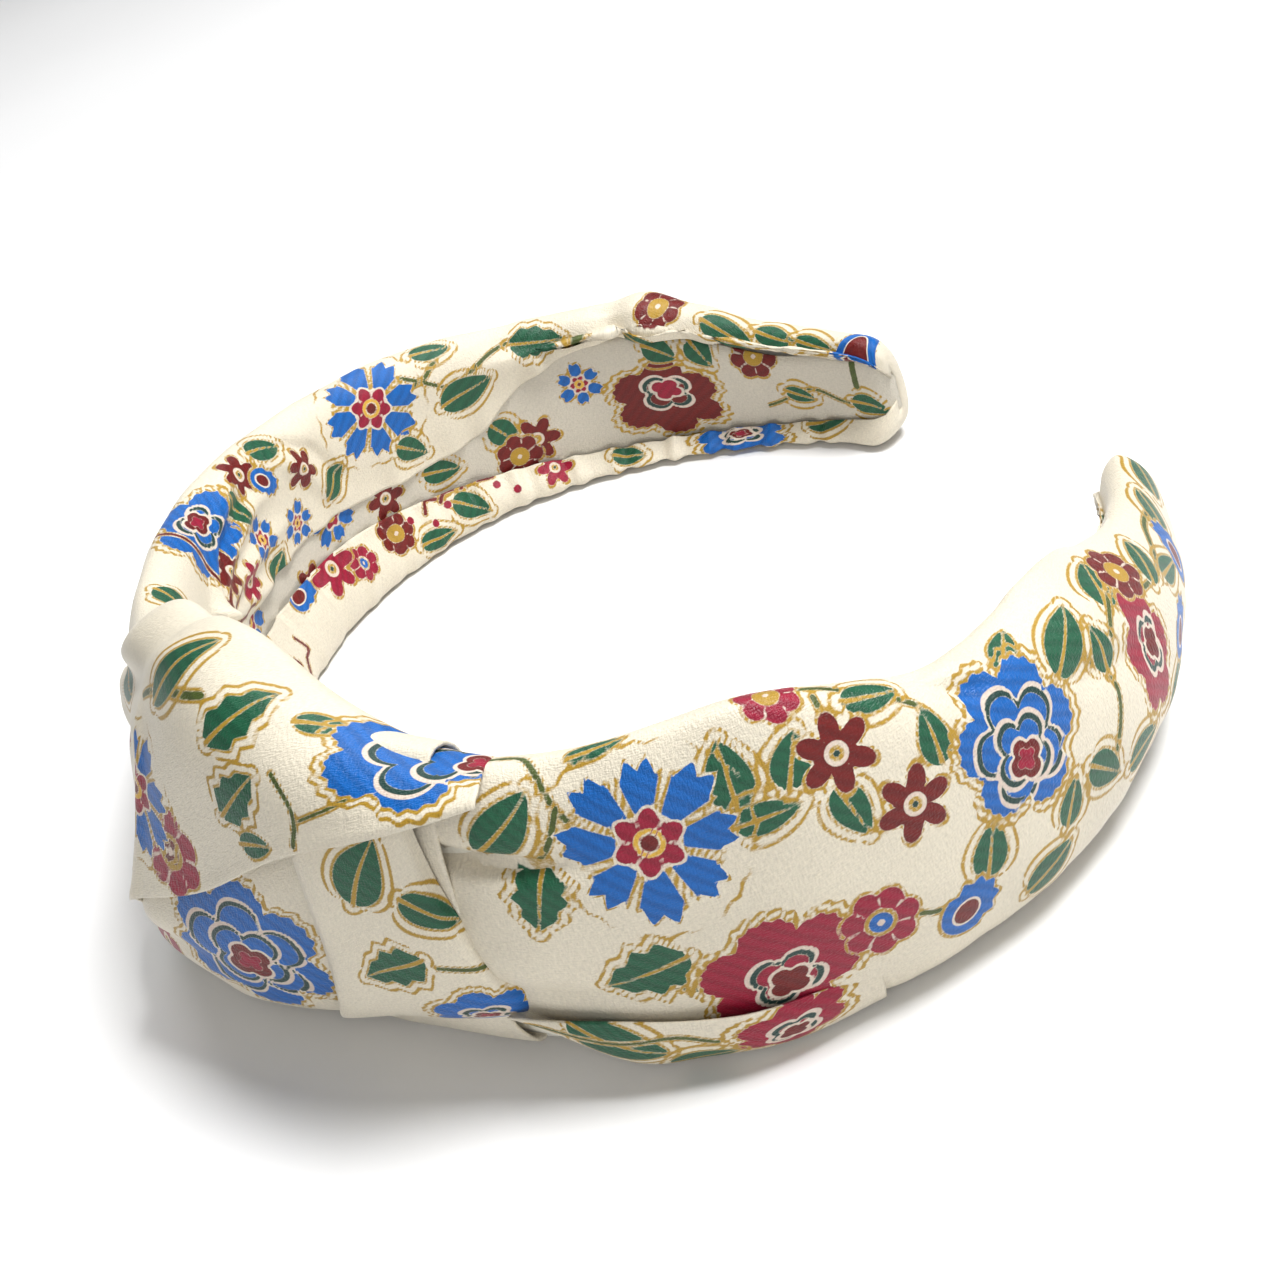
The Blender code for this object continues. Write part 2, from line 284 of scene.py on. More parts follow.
def rims(front, rear, step):
    """Faces that join the fine front grid's border to the coarse rear grid's border."""
    faces = []
    borders = [(front[:, 0], rear[:, 0], False), (front[:, -1], rear[:, -1], True),
               (front[0, :], rear[0, :], True), (front[-1, :], rear[-1, :], False)]
    for fine, coarse, flip in borders:
        rows = []
        for k in range(len(coarse) - 1):
            part = list(fine[k * step:(k + 1) * step + 1])
            ring = part[::-1] + [coarse[k], coarse[k + 1]]
            rows.append(ring[::-1] if flip else ring)
        faces.append(np.array(rows))
    return faces


def mesh_from(name, verts, polys):
    mesh = bpy.data.meshes.new(name)
    loops = np.concatenate([p.ravel() for p in polys]).astype(np.int32)
    sizes = np.concatenate([np.full(len(p), p.shape[1]) for p in polys])
    starts = np.concatenate([[0], np.cumsum(sizes)[:-1]]).astype(np.int32)
    mesh.vertices.add(len(verts))
    mesh.vertices.foreach_set("co", verts.astype('f4').ravel())
    mesh.loops.add(len(loops))
    mesh.loops.foreach_set("vertex_index", loops)
    mesh.polygons.add(len(sizes))
    mesh.polygons.foreach_set("loop_start", starts)
    mesh.polygons.foreach_set("use_smooth", np.ones(len(sizes), dtype=bool))
    mesh.update(calc_edges=True)
    mesh.validate()
    return mesh


# ---- the print's motifs: each paints a sheet in local millimetres ----
def saw(t):
    """A tooth wave from 0 to 1 with period 1."""
    return np.abs(((t + 0.5) % 1.0) - 0.5) * 2.0


def outlined(sheet, ink, d, edge=0.4):
    """Ink with a gold line round it."""
    sheet.paint("gold", d - edge)
    sheet.paint(ink, d)


def leaf(sheet, s, z, angle, length=11.0, width=6.0, face=1, jag=0.0, bend=0.0, ring=True):
    """A leaf whose middle is at (s, z), pointing along angle."""
    x, y = sheet.local(s, z, face, angle)
    x = x + length / 2
    inside = np.clip(x, 0, length)
    y = y - bend * inside * (length - inside) / length ** 2 * 4
    t = inside / length
    half = width / 2 * np.sin(math.pi * t ** 0.72) ** 0.75
    half = half * (1.0 - jag * saw(t * 3.5 + 0.25 - 0.12 * np.abs(y) / width))
    past = np.maximum(-x, x - length)
    d = np.where(past > 0, np.hypot(past, y), (np.abs(y) - half) * 0.85)
    if ring:
        sheet.paint("gold", np.abs(d - 1.15) - 0.21)
    outlined(sheet, "green", d, 0.34)
    sheet.paint("gold", np.maximum(np.abs(y) - 0.32 + 0.2 * t, np.maximum(d + 0.1, -x)))


def stem(sheet, points, face=1, width=0.8, ink="stem"):
    """A stem through (s, z) points."""
    s0, z0 = points[0]
    x0, y0 = sheet.local(s0, z0, face)
    place = []
    for s, z in points:
        x, y = sheet.local(s, z, face)
        place.append(nearest(x0, y0, x, y))
    path = spline(np.array(place), np.linspace(0.0, 1.0, 8 * len(points)))
    d = path_distance(x0, y0, path)[0]
    sheet.paint("gold", d - width / 2 - 0.2)
    sheet.paint(ink, d - width / 2 + 0.08)


def nearest(x0, y0, x, y):
    k = np.unravel_index(np.argmin(x * x + y * y), x.shape)
    return (x0[k], y0[k])


def cornflower(sheet, s, z, angle=0.0, radius=10.0, face=1, petals=8, ring=True):
    """Separate wedge petals with ragged ends around a crimson heart."""
    x, y = sheet.local(s, z, face, angle)
    r = np.hypot(x, y)
    turn = np.arctan2(y, x) / (2 * math.pi) * petals
    off = (turn % 1.0 - 0.5) * 2 * math.pi / petals
    wobble = 0.05 * np.sin(3.0 * np.arctan2(y, x) + 0.7)
    outer = radius * (1.0 + wobble - 0.16 * saw(turn * 3.0) - 0.9 * off ** 2)
    inner = 0.36 * radius
    half = np.minimum((r - 0.06 * radius) * math.pi / petals * 0.84, 0.25 * radius)
    d = np.maximum(np.maximum((r - outer) * 0.9, inner - r), (r * np.abs(off) - half) * 0.95)
    if ring:
        edge = radius * (1.12 + wobble + 0.05 * saw(turn * 3.0))
        sheet.paint("gold", np.maximum(np.abs(r - edge) - 0.22, 0.15 - saw(turn) * 0.4))
    outlined(sheet, "blue", d, 0.36)
    heart(sheet, x, y, 0.41 * radius, 6)


def heart(sheet, x, y, radius, lobes):
    """The crimson middle of a flower, with its white edge, ring and dark dot."""
    r = np.hypot(x, y)
    theta = np.arctan2(y, x)
    edge = r - radius * (0.86 + 0.14 * np.cos(lobes * theta))
    sheet.paint("pale", edge - 0.3)
    sheet.paint("crimson", edge)
    sheet.paint("pale", np.maximum(np.abs(saw(theta / (2 * math.pi) * lobes) - 0.93) * 0.9 - 0.08,
                                   np.maximum(edge + 0.25, 0.5 * radius - r)))
    sheet.paint("yellow", np.abs(r - 0.36 * radius) - 0.26)
    sheet.paint("maroon", r - 0.24 * radius)


def peony(sheet, s, z, angle=0.0, size=(19.0, 17.0), ink="blue", face=1, core=(0.0, -0.14)):
    """A wide flower of ragged petals, layer inside layer, around an off-centre heart."""
    x, y = sheet.local(s, z, face, angle)
    a, b = size[0] / 2, size[1] / 2
    mean = (a + b) / 2
    theta = np.arctan2(y / b, x / a)

    def layer(radius, count, depth, phase, pull, frill=0.0):
        """Signed distance to a ring of petals pulled part of the way to the core."""
        u = x / a - pull * core[0]
        v = y / b - pull * core[1]
        turn = np.arctan2(v, u)
        lobe = np.abs(np.sin(turn * count / 2 + phase + 0.25 * np.sin(turn)))
        edge = radius * (1.0 - depth * (1.0 - lobe) ** 1.4 - frill * saw(theta * 5.5))
        return (np.hypot(u, v) - edge) * mean * 0.92

    d = layer(1.0, 6, 0.24, 0.5, 0.0, 0.06)
    sheet.paint("gold", np.abs(d - 1.2) - 0.24)
    outlined(sheet, ink, d, 0.45)
    rings = ((0.76, 5, 1.1, 0.5), (0.50, 4, 0.3, 1.0))
    for radius, count, phase, pull in rings if mean > 8.5 else rings[1:]:
        line = layer(radius, count, 0.34, phase, pull)
        within = d + 0.35
        sheet.paint("dark", np.maximum(np.abs(line + 0.48) - 0.40, within))
        sheet.paint("pale", np.maximum(np.abs(line) - 0.23, within))
    middle = layer(0.27, 4, 0.35, 0.9, 1.6)
    sheet.paint("pale", middle - 0.34)
    sheet.paint("maroon" if ink != "maroon" else "crimson", middle)
    sheet.paint("crimson" if ink != "crimson" else "maroon", middle + 0.10 * mean)


def star(sheet, s, z, angle=0.0, radius=4.0, face=1, ink="maroon", petals=6):
    x, y = sheet.local(s, z, face, angle)
    r = np.hypot(x, y)
    theta = np.arctan2(y, x)
    reach = radius * (0.42 + 0.58 * np.abs(np.cos(petals / 2 * theta)) ** 0.9)
    d = (r - reach) * 0.75
    outlined(sheet, ink, d)
    sheet.paint("pale", r - 0.30 * radius)
    sheet.paint("gold", r - 0.20 * radius)
    sheet.paint("dark", r - 0.09 * radius)


def round_flower(sheet, s, z, angle=0.0, radius=4.5, face=1, ink="crimson", middle="blue"):
    x, y = sheet.local(s, z, face, angle)
    r = np.hypot(x, y)
    theta = np.arctan2(y, x)
    d = (r - radius * (0.82 + 0.18 * np.abs(np.cos(3.5 * theta)))) * 0.9
    outlined(sheet, ink, d)
    sheet.paint("pale", np.maximum(np.abs(saw(theta * 3.5 / math.pi) - 0.95) - 0.06,
                                   np.maximum(d + 0.3, 0.5 * radius - r)))
    sheet.paint("gold", r - 0.42 * radius)
    sheet.paint(middle, r - 0.30 * radius)
    sheet.paint("pale", r - 0.10 * radius)


def bud(sheet, s, z, angle=0.0, size=(7.0, 5.5), face=1, ink="blue"):
    """A half-open bud that opens along +x."""
    x, y = sheet.local(s, z, face, angle)
    a, b = size[0] / 2, size[1] / 2
    r = np.hypot(x / a, y / b)
    theta = np.arctan2(y / b, x / a)
    d = (r - 1.0 + 0.22 * saw(theta * 1.6) * (np.cos(theta) > -0.2)) * (a + b) / 2 * 0.85
    outlined(sheet, ink, d)
    inner = np.hypot((x + 0.2 * a) / a, y / b) - 0.42
    sheet.paint("pale", inner * (a + b) / 2 - 0.25)
    sheet.paint("maroon", inner * (a + b) / 2)


def dots(sheet, points, face=1, radius=0.8, ink="crimson"):
    for s, z in points:
        x, y = sheet.local(s, z, face)
        sheet.paint(ink, np.hypot(x, y) - radius)


# ---- sleeves ----
def loft(t, rows, steps, count):
    """A grid (s, o, z) through control rows [(o, z) arrays], count points across it."""
    ctrl = np.stack([np.stack([t, np.broadcast_to(o, t.shape), np.broadcast_to(z, t.shape)], -1)
                     for o, z in rows], 0)
    return even_across(np.swapaxes(spline(ctrl, np.linspace(0.0, 1.0, steps)), 0, 1), count)


def sleeve_grid(t, side, profiles, count, tuck=0.0):
    """Section from the inner lower hem, under the belly and over the top, to the upper hem.

    tuck lifts the lower outside, where it slips under the knot.
    """
    top, roll, bottom, upper_hem, lower_hem = [curve(p, t) for p in profiles]
    slim = 1.0 - 0.35 * smooth(136.0, ARM_END - 4.0, t)
    belly = (6.0 - 0.6 * bump(t, 56.0, 9.0)) * (1.0 - 0.18 * smooth(136.0, ARM_END - 4.0, t))
    h = top - bottom
    rows = [(-4.4 * slim, lower_hem), (-6.9 * slim, bottom + 0.45 * (lower_hem - bottom)),
            (-6.5 * slim, bottom + 0.6), (-1.8, bottom),
            (2.4, bottom + 0.05 * h + 4.0 * tuck), (0.83 * belly, bottom + 0.17 * h + 3.0 * tuck),
            (belly, bottom + 0.36 * h), (0.98 * belly, bottom + 0.56 * h),
            (0.80 * belly, bottom + 0.76 * h), (0.48 * belly, bottom + 0.91 * h), (0.3, top),
            (-2.8 * slim, top - 0.45 * (top - roll) + 0.1), (-4.8 * slim, roll - 1.8),
            (-5.2 * slim, roll - 0.35 * (roll - upper_hem)), (-4.4 * slim, upper_hem)]
    grid = loft(t, rows, 14 * 16 + 1, count)
    close_tip(grid, t, 0.5 * (top + bottom))
    grid[..., 0] *= side
    return grid


def close_tip(grid, t, middle):
    """Round the tip off: height and thickness shrink over the last few millimetres."""
    left = np.clip((ARM_END - t) / TIP_ROUND, 0.0, 1.0)
    shrink = np.sqrt(1.0 - (1.0 - left) ** 2)[:, None]
    grid[..., 1] *= 0.12 + 0.88 * shrink
    grid[..., 2] = middle[:, None] + (grid[..., 2] - middle[:, None]) * (0.4 + 0.6 * shrink)


def ridge(x, y, path, height, width, ends=(0.3, 0.3)):
    """A soft ridge (or, with a negative height, a groove) that dies out at both ends."""
    d, u = path_distance(x, y, path)
    gate = smooth(0.0, ends[0], u) * (1.0 - smooth(1.0 - ends[1], 1.0, u))
    return gate * height * np.exp(-(d / width) ** 2)


def ridges(x, y, *rows):
    return sum(ridge(x, y, *row) for row in rows)


def ruched_hems(sheet, t, shift, low_period, high_period):
    """The ruched lower hem, and lighter gathers along the upper one."""
    high = sheet.across[:, -1:] - sheet.across
    return (ruching(t, sheet.across, 7.0, 0.42, low_period)
            + ruching(t + shift, high, 6.0, 0.30, high_period))


def ruching(t, across, width, height, period):
    """Small gathers along a hem, strongest at its edge."""
    wave = np.sin(2 * math.pi * t / period) + 0.5 * np.sin(2 * math.pi * t / (0.61 * period) + 1.3) \
        + 0.35 * np.sin(2 * math.pi * t / (2.3 * period) + 0.4)
    before_tip = 1.0 - smooth(164.0, 175.0, np.abs(t))
    return before_tip * height * wave * np.exp(-across / width)


NEAR_PROFILES = (NEAR_TOP, NEAR_ROLL, NEAR_BOTTOM, UPPER_HEM, LOWER_HEM)
FAR_PROFILES = (FAR_TOP, FAR_ROLL, FAR_BOTTOM, UPPER_HEM, LOWER_HEM)


def near_sleeve():
    t = np.linspace(50.0, ARM_END, 341)
    tuck = 1.0 - smooth(61.0, 71.0, t)
    sheet = Sheet("right_sleeve_cloth", sleeve_grid(t, 1.0, NEAR_PROFILES, 201, tuck), 1.0)
    s, o, z = [sheet.band[..., k] for k in range(3)]
    out = smooth(-1.0, 1.5, o)
    amount = np.zeros(s.shape)
    # two puffs at the knot with a deep pleat between them
    amount += out * 1.2 * bump(s, 63.0, 7.0) * bump(z, 38.0, 5.0)
    amount += out * 1.4 * bump(s, 64.0, 8.0) * bump(z, 22.0, 8.0)
    amount += out * ridges(
        s, z, ([(52, 33), (60, 32.2), (67, 31.4), (76, 31)], -2.6, 1.3, (0.02, 0.5)),
        ([(53, 17), (60, 15), (70, 14.5), (80, 13)], -0.8, 1.6, (0.02, 0.5)),
        ([(64, 45), (72, 41), (84, 40)], -0.5, 1.8, (0.1, 0.6)))
    # shallow drag lines and the pinch where the upper edge steps down
    amount += out * ridges(s, z, ([(95, 43), (105, 34), (118, 24)], 0.45, 3.5),
                           ([(124, 27), (134, 22), (146, 18)], -0.6, 2.0))
    amount += ridge(s, z, [(108, 38), (114, 33), (119, 30)], -1.1, 1.4, (0.2, 0.4)) * smooth(-4, -1, o)
    amount += out * 0.18 * np.sin(s / 3.1 + z / 5.0) * np.sin(z / 3.7 - s / 9.0)
    sheet.push(amount + ruched_hems(sheet, s, 3.0, 6.5, 11.0))
    return sheet


FLAP_EDGE = [(60, 12.0), (64, 11.5), (70, 11.0), (79, 9.4), (88, 8.2), (93, 7.6), (97, 7.4)]
FLAP_LOW = [(60, 11.2), (63, 8.6), (67, 4.2), (71, 1.3), (78, 0.5), (97, 0.4)]


def lower_flap():
    """The lap of cloth folded over the low side of the near sleeve, free along its upper edge."""
    t = np.linspace(60.0, 97.0, 121)
    edge, low = curve(FLAP_EDGE, t), curve(FLAP_LOW, t)
    d = edge - low
    out = 1.0 - 0.34 * smooth(82.0, 96.0, t)
    rows = [(1.2, low), (4.4 * out, low + 0.12 * d), (6.4 * out, low + 0.42 * d),
            (7.1 * out, low + 0.75 * d), (7.0 * out, edge)]
    sheet = Sheet("right_sleeve_flap_cloth", loft(t, rows, 61, 41), 1.0)
    s, z = sheet.band[..., 0], sheet.band[..., 2]
    sheet.push(0.25 * np.sin(s / 3.4) * bump(z, 3.0, 5.0))
    return sheet


def far_sleeve():
    t = np.linspace(-4.0, ARM_END, 421)
    sheet = Sheet("left_sleeve_cloth", sleeve_grid(t, -1.0, FAR_PROFILES, 181), -1.0)
    t = -sheet.band[..., 0]
    o, z = sheet.band[..., 1], sheet.band[..., 2]
    out = smooth(-1.0, 1.5, o)
    inner = 1.0 - smooth(-2.0, 1.0, o)
    amount = np.zeros(t.shape)
    # pleats that fan out from the knot over the top and the inside
    for z_end, height in ((36.0, 1.0), (29.5, 1.2), (23.0, 1.3), (16.5, 1.1)):
        amount += inner * ridge(t, z, [(28, 26), (40, 0.5 * (26 + z_end)), (58, z_end), (70, z_end - 1)],
                                height, 1.5, (0.05, 0.6))
    amount += inner * ridge(t, z, [(30, 25), (44, 31), (66, 33)], -1.0, 1.3, (0.05, 0.5))
    for z_end in (33.0, 25.0, 17.0, 9.0):
        amount += out * ridge(t, z, [(30, 0.6 * z_end + 8), (48, z_end), (72, z_end)], 0.9, 1.7,
                              (0.05, 0.6))
    # crumpled stretch, then the lump where the hem is caught
    amount += inner * ridges(t, z, ([(62, 35), (71, 28), (77, 17)], 1.0, 1.6),
                             ([(66, 36), (75, 29), (81, 17)], -0.9, 1.3),
                             ([(108, 32), (122, 25), (134, 23)], -0.7, 1.7))
    amount += 1.5 * bump(t, 141.0, 4.5) * smooth(18, 25, z)
    amount += -1.2 * bump(t, 134.0, 3.0) * smooth(18, 25, z) * inner
    amount += 0.16 * np.sin(t / 3.3 + z / 4.0) * np.sin(z / 3.1 - t / 8.0)
    amount += out * ridge(t, z, [(95, 30), (112, 18), (130, 8)], 0.5, 3.0)
    sheet.push(amount + ruched_hems(sheet, t, 2.0, 6.0, 10.0))
    return sheet


def lining(side):
    """The lining over the inside of the strip, one half of the band."""
    t = np.linspace(0.0, ARM_END, 321)
    taper = 1.0 - smooth(150.0, ARM_END, t) * 0.5
    profiles = FAR_PROFILES if side < 0 else NEAR_PROFILES
    end = smooth(160.0, 172.0, t)
    top = curve(profiles[1], np.maximum(t, 46.0)) - 3.5 + 1.5 * end
    rows = [(-2.9, 1.6 + 0 * t), (-3.5, 4.0 + 0 * t), (-3.8, 0.33 * top + 2), (-3.9, 0.66 * top + 1),
            (-3.7, top - 1.5), (-3.0, top)]
    grid = loft(t, rows, 61, 81)[:, ::-1]
    grid[..., 1] *= 1.0 - 0.35 * smooth(136.0, ARM_END - 4.0, t)[:, None]
    close_tip(grid, t, 0.5 * (curve(profiles[0], t) + curve(profiles[2], t)))
    grid[..., 1] += 0.7 * smooth(ARM_END - 2.0, ARM_END, t)[:, None]
    grid[..., 0] *= side
    name = "left_lining_cloth" if side < 0 else "right_lining_cloth"
    sheet = Sheet(name, grid, side)
    wave = 0.10 * np.sin(t / 7.0)[:, None] * np.sin(sheet.across / 4.0) * taper[:, None]
    sheet.push(wave)
    return sheet


# ---- the knot: patches drawn through control points (s, o, z), lower edge first ----
def patch(name, rows, n, m, sign=1.0):
    """A sheet through rows of control points; each row is one section across the cloth."""
    ctrl = np.array(rows, float)
    along = spline(ctrl, np.linspace(0.0, 1.0, n))
    fine = np.swapaxes(spline(np.swapaxes(along, 0, 1), np.linspace(0.0, 1.0, 12 * ctrl.shape[1])), 0, 1)
    return Sheet(name, even_across(fine, m), sign)


def sections(stations):
    return [[(s, o, z) for o, z in row] for s, row in stations]


UPPER_STRAP = [
    [(-34, 5.2, 1.5), (-33, 6.6, 6), (-30, 7.2, 13), (-23, 7, 22), (-14, 5.6, 30), (-2, 2.6, 41),
     (5, -4.5, 46.5), (8, -6.2, 40)],
    [(-24, 6.6, 1.5), (-23, 8.2, 6), (-20, 8.6, 14.5), (-14, 7.8, 24), (-6, 6, 33), (4, 2.4, 45),
     (10, -5, 49.4), (12, -6.8, 41)],
    [(-10, 8.6, 2.6), (-9, 9.8, 6.5), (-7, 9.6, 15.5), (-2, 8.4, 26), (4, 6, 35), (10, 2.2, 48.2),
     (15, -5.4, 51), (16, -7, 42)],
    [(4, 12.2, 9), (4.5, 12.6, 12), (6, 11.6, 20), (9, 9, 30), (12, 6.2, 40), (17, 1.4, 49),
     (22, -5.4, 50.6), (23, -7.1, 42)],
    [(15, 15.7, 20.4), (15.5, 15.1, 22.6), (17, 12, 29.6), (18, 8.8, 37.5), (20, 5.4, 45.5),
     (23, 1.6, 51.6), (26, -5.6, 52), (27, -7.2, 42)],
    [(29.5, 12, 27), (30, 11.6, 29.6), (30, 9.8, 36.5), (30, 7.8, 44), (31, 4.6, 49.6), (32, 0, 52),
     (34, -5.6, 51), (34, -7, 42)],
    [(43, 9.9, 35), (43, 9.6, 37), (43, 8.6, 40.6), (43, 6.6, 44.2), (43, 3.6, 46.7), (43, 0, 47.8),
     (44, -4.6, 46.2), (44, -6, 40)],
    [(56, 8.3, 39), (56, 8.1, 40), (56, 7.2, 41.4), (56, 5.4, 42.6), (56, 3, 43.3), (56, 0.2, 43),
     (56, -3.6, 41.6), (56, -5.2, 37)],
    [(66, 6.2, 41), (66, 6, 41.4), (66, 5, 41.8), (65.8, 3.8, 42), (65.6, 2.4, 42),
     (65.2, 0.6, 41.7), (65, -2, 40.8), (64, -4, 38.5)],
]
LOWER_LOOP = [
    (-16, [(2, 0.6), (5, 0.8), (7.4, 2), (8.6, 5), (8.8, 8), (8.4, 12), (7.6, 16)]),
    (-4, [(2, 0.6), (6.8, 1.2), (10.8, 3.4), (12.8, 6.8), (12.8, 10), (11, 15), (9, 20)]),
    (8, [(3, 0.8), (8.4, 1.6), (12.6, 5.4), (15.0, 10.4), (15.1, 14.4), (12, 19.6), (9, 24)]),
    (16, [(4, 0.8), (9.6, 2), (13, 7.2), (15.3, 13), (15.5, 17.4), (13, 22.6), (9.6, 28)]),
    (26, [(4, 0.9), (8.4, 3.4), (11.4, 8), (13.4, 13), (13.4, 19), (11, 26), (8.2, 32)]),
    (36, [(3.6, 3), (6.6, 6), (8.6, 9), (10, 13.5), (10.4, 20), (9.2, 28), (6.6, 35)]),
    (46, [(3, 6), (5.2, 8.4), (6.8, 11), (7.8, 15), (8, 21), (7.4, 28), (5.8, 35)]),
    (55, [(2.6, 8), (4, 9.4), (5.2, 12), (6, 16), (6.2, 21), (6, 28), (5, 34)]),
]
MIDDLE_STRAP = [
    [(37.5, 6, 6), (39, 9, 9), (41.5, 10, 14.5), (43, 10, 22), (43.4, 9.6, 29), (43.4, 8.6, 36),
     (43, 7, 40)],
    [(38.5, 6.2, 6.2), (40.4, 9.6, 9.6), (43, 10.9, 14.5), (45, 10.8, 22), (45.4, 10.4, 29),
     (45.4, 9.2, 36), (45.4, 7, 41)],
    [(45.5, 5.2, 7.4), (47, 8.2, 11.2), (48.4, 9.8, 15.5), (49.4, 9.9, 22), (49.8, 9.5, 30),
     (49.6, 8.6, 37), (49.6, 6.6, 41)],
    [(52, 4.8, 8.2), (53.4, 7.6, 12), (54.2, 8.8, 16.5), (54.4, 9, 23), (54, 8.7, 30), (53.6, 7.8, 37),
     (53.6, 6, 41)],
    [(59.5, 4.6, 9.6), (60.6, 6.6, 12.8), (59.6, 7.6, 17.5), (58.2, 7.8, 24), (57, 7.4, 31),
     (56.4, 6.6, 37.5), (56.4, 5.4, 41)],
    [(62.5, 3.4, 10), (62.6, 4.9, 13.4), (60.8, 5.8, 18), (59.2, 6, 24), (57.8, 5.6, 31),
     (57.2, 5, 37.5), (57.2, 4.4, 41)],
]


WRAP_TOP = [(-2, 40), (10, 45), (22, 49.5), (34, 49), (46, 45.5), (60, 42.6)]
WRAP_BOTTOM = [(-2, 0.7), (36, 0.7), (46, 2.2), (56, 2.6), (60, 2.4)]


def knot_wrap():
    """The gathered cloth right round the strip, under the knot's straps."""
    stations = []
    for s in (-2, 8, 18, 28, 38, 48, 59):
        top = float(curve(WRAP_TOP, s))
        low = float(curve(WRAP_BOTTOM, s))
        stations.append((s, [(-2, low), (1.6, low + 0.2), (3.8, low + 3), (5.4, 10), (6.2, 0.45 * top),
                             (4.6, 0.8 * top), (0, top), (-4.8, 0.9 * top), (-6.4, 0.6 * top),
                             (-6, 0.3 * top), (-5.2, low + 3), (-2.4, low + 0.3)]))
    sheet = patch("knot_wrap_cloth", sections(stations), 141, 221)
    s, o, z = [sheet.band[..., k] for k in range(3)]
    inside = 1.0 - smooth(-3.5, -1.0, o)
    sheet.push(0.55 * inside * np.sin((z * 0.9 + s * 0.55) / 2.6))
    return sheet


def upper_strap():
    sheet = patch("knot_upper_strap_cloth", UPPER_STRAP, 241, 169)
    s, o, z = [sheet.band[..., k] for k in range(3)]
    out = smooth(-1.0, 1.5, o)
    amount = out * ridges(s, z, ([(-34, 30), (-14, 36), (6, 42), (20, 47)], -1.2, 1.8, (0.02, 0.35)),
                          ([(-34, 22), (-16, 26), (0, 30), (10, 36)], -1.3, 1.8, (0.02, 0.3)),
                          ([(-34, 13), (-18, 15), (-4, 17), (8, 21)], -1.2, 1.8, (0.02, 0.3)),
                          ([(15, 18), (16.5, 28), (18, 37), (17, 46)], 0.7, 1.3, (0.1, 0.2)))
    sheet.push(amount + 0.5 * np.exp(-(sheet.across / 1.6) ** 2))
    return sheet


def lower_loop():
    sheet = patch("knot_lower_loop_cloth", sections(LOWER_LOOP), 161, 121)
    s, z = sheet.band[..., 0], sheet.band[..., 2]
    sheet.push(ridges(s, z, ([(-8, 9), (6, 12), (20, 15), (30, 14)], -0.9, 1.6, (0.1, 0.4)),
                      ([(2, 20), (12, 22), (22, 28)], 0.9, 1.8, (0.1, 0.3)),
                      ([(18, 6), (30, 9), (40, 9)], 0.5, 2.0)))
    return sheet


def middle_strap():
    return patch("knot_middle_strap_cloth", MIDDLE_STRAP, 89, 121)


# (distance along the band, height of the roll's middle, its radius)
ROLL_RINGS = [(-2, 12.5, 1.6), (2, 14.0, 2.8), (7, 16.0, 3.5), (12, 18.2, 3.4), (17, 21, 2.6),
              (23, 25, 1.2)]
ROLL_OUT = 12.6          # how far out the roll's middle lies


def rolled_fold():
    """The small rolled end of cloth at the left of the lower loop."""
    rows = []
    for s, z, r in ROLL_RINGS:
        row = []
        for k in range(9):
            a = math.radians(-150 + 40 * k)
            shrink = 1.0 - 0.05 * k
            row.append((s, ROLL_OUT + 0.75 * r * shrink * math.cos(a), z + r * shrink * math.sin(a)))
        rows.append(row)
    return patch("knot_rolled_fold_cloth", rows, 81, 81)


# ---- the foam pads ----
FOAM_LOW = 3.2
FOAM_LIFT = 2.0          # how far the knot's straps push the pad's lower edge up
FOAM_INNER = 1.0
FOAM_OUTER = 2.7
FOAM_MARGIN = 3.4        # pad edge to the top of the cover
FOAM_GAP = 0.3           # each side of a flex line
FOAM_TIP = 14.0          # pad end to strip end
FOAM_RING = 32           # points round a section
FOAM_SQUARE = 0.55       # below 1, the section is squarer than an ellipse


def foam_pad(name, start, end, material):
    """A thin crowned pad on the outside of the strip, closed all round."""
    s = np.linspace(start, end, 61)
    top = curve(FAR_TOP, np.maximum(np.abs(s), 20.0)) - FOAM_MARGIN
    low = FOAM_LOW + FOAM_LIFT * bump(s, 54.0, 8.0)
    angle = np.linspace(0.0, 2 * math.pi, FOAM_RING + 1)[:-1]
    co = np.sign(np.cos(angle)) * np.abs(np.cos(angle)) ** FOAM_SQUARE
    si = np.sign(np.sin(angle)) * np.abs(np.sin(angle)) ** FOAM_SQUARE
    o = 0.5 * (FOAM_INNER + FOAM_OUTER) + 0.5 * (FOAM_OUTER - FOAM_INNER) * co
    z = 0.5 * (top + low)[:, None] + 0.5 * (top - low)[:, None] * si
    points = band_point(s[:, None], o[None, :], z)
    index = np.arange(len(points) * FOAM_RING).reshape(len(points), FOAM_RING)
    ring = np.concatenate([index, index[:, :1]], axis=1)
    side = quads(ring)
    caps = [index[:1, ::-1], index[-1:, :]]
    mesh = mesh_from(name, points.reshape(-1, 3), [side] + caps)
    mesh.materials.append(material)
    pad = add_object(name, mesh)
    return pad


# ---- where the print lies ----
def each(motif, sheet, *rows):
    """One motif in several places; a row holds the motif's own arguments."""
    for row in rows:
        motif(sheet, *row)


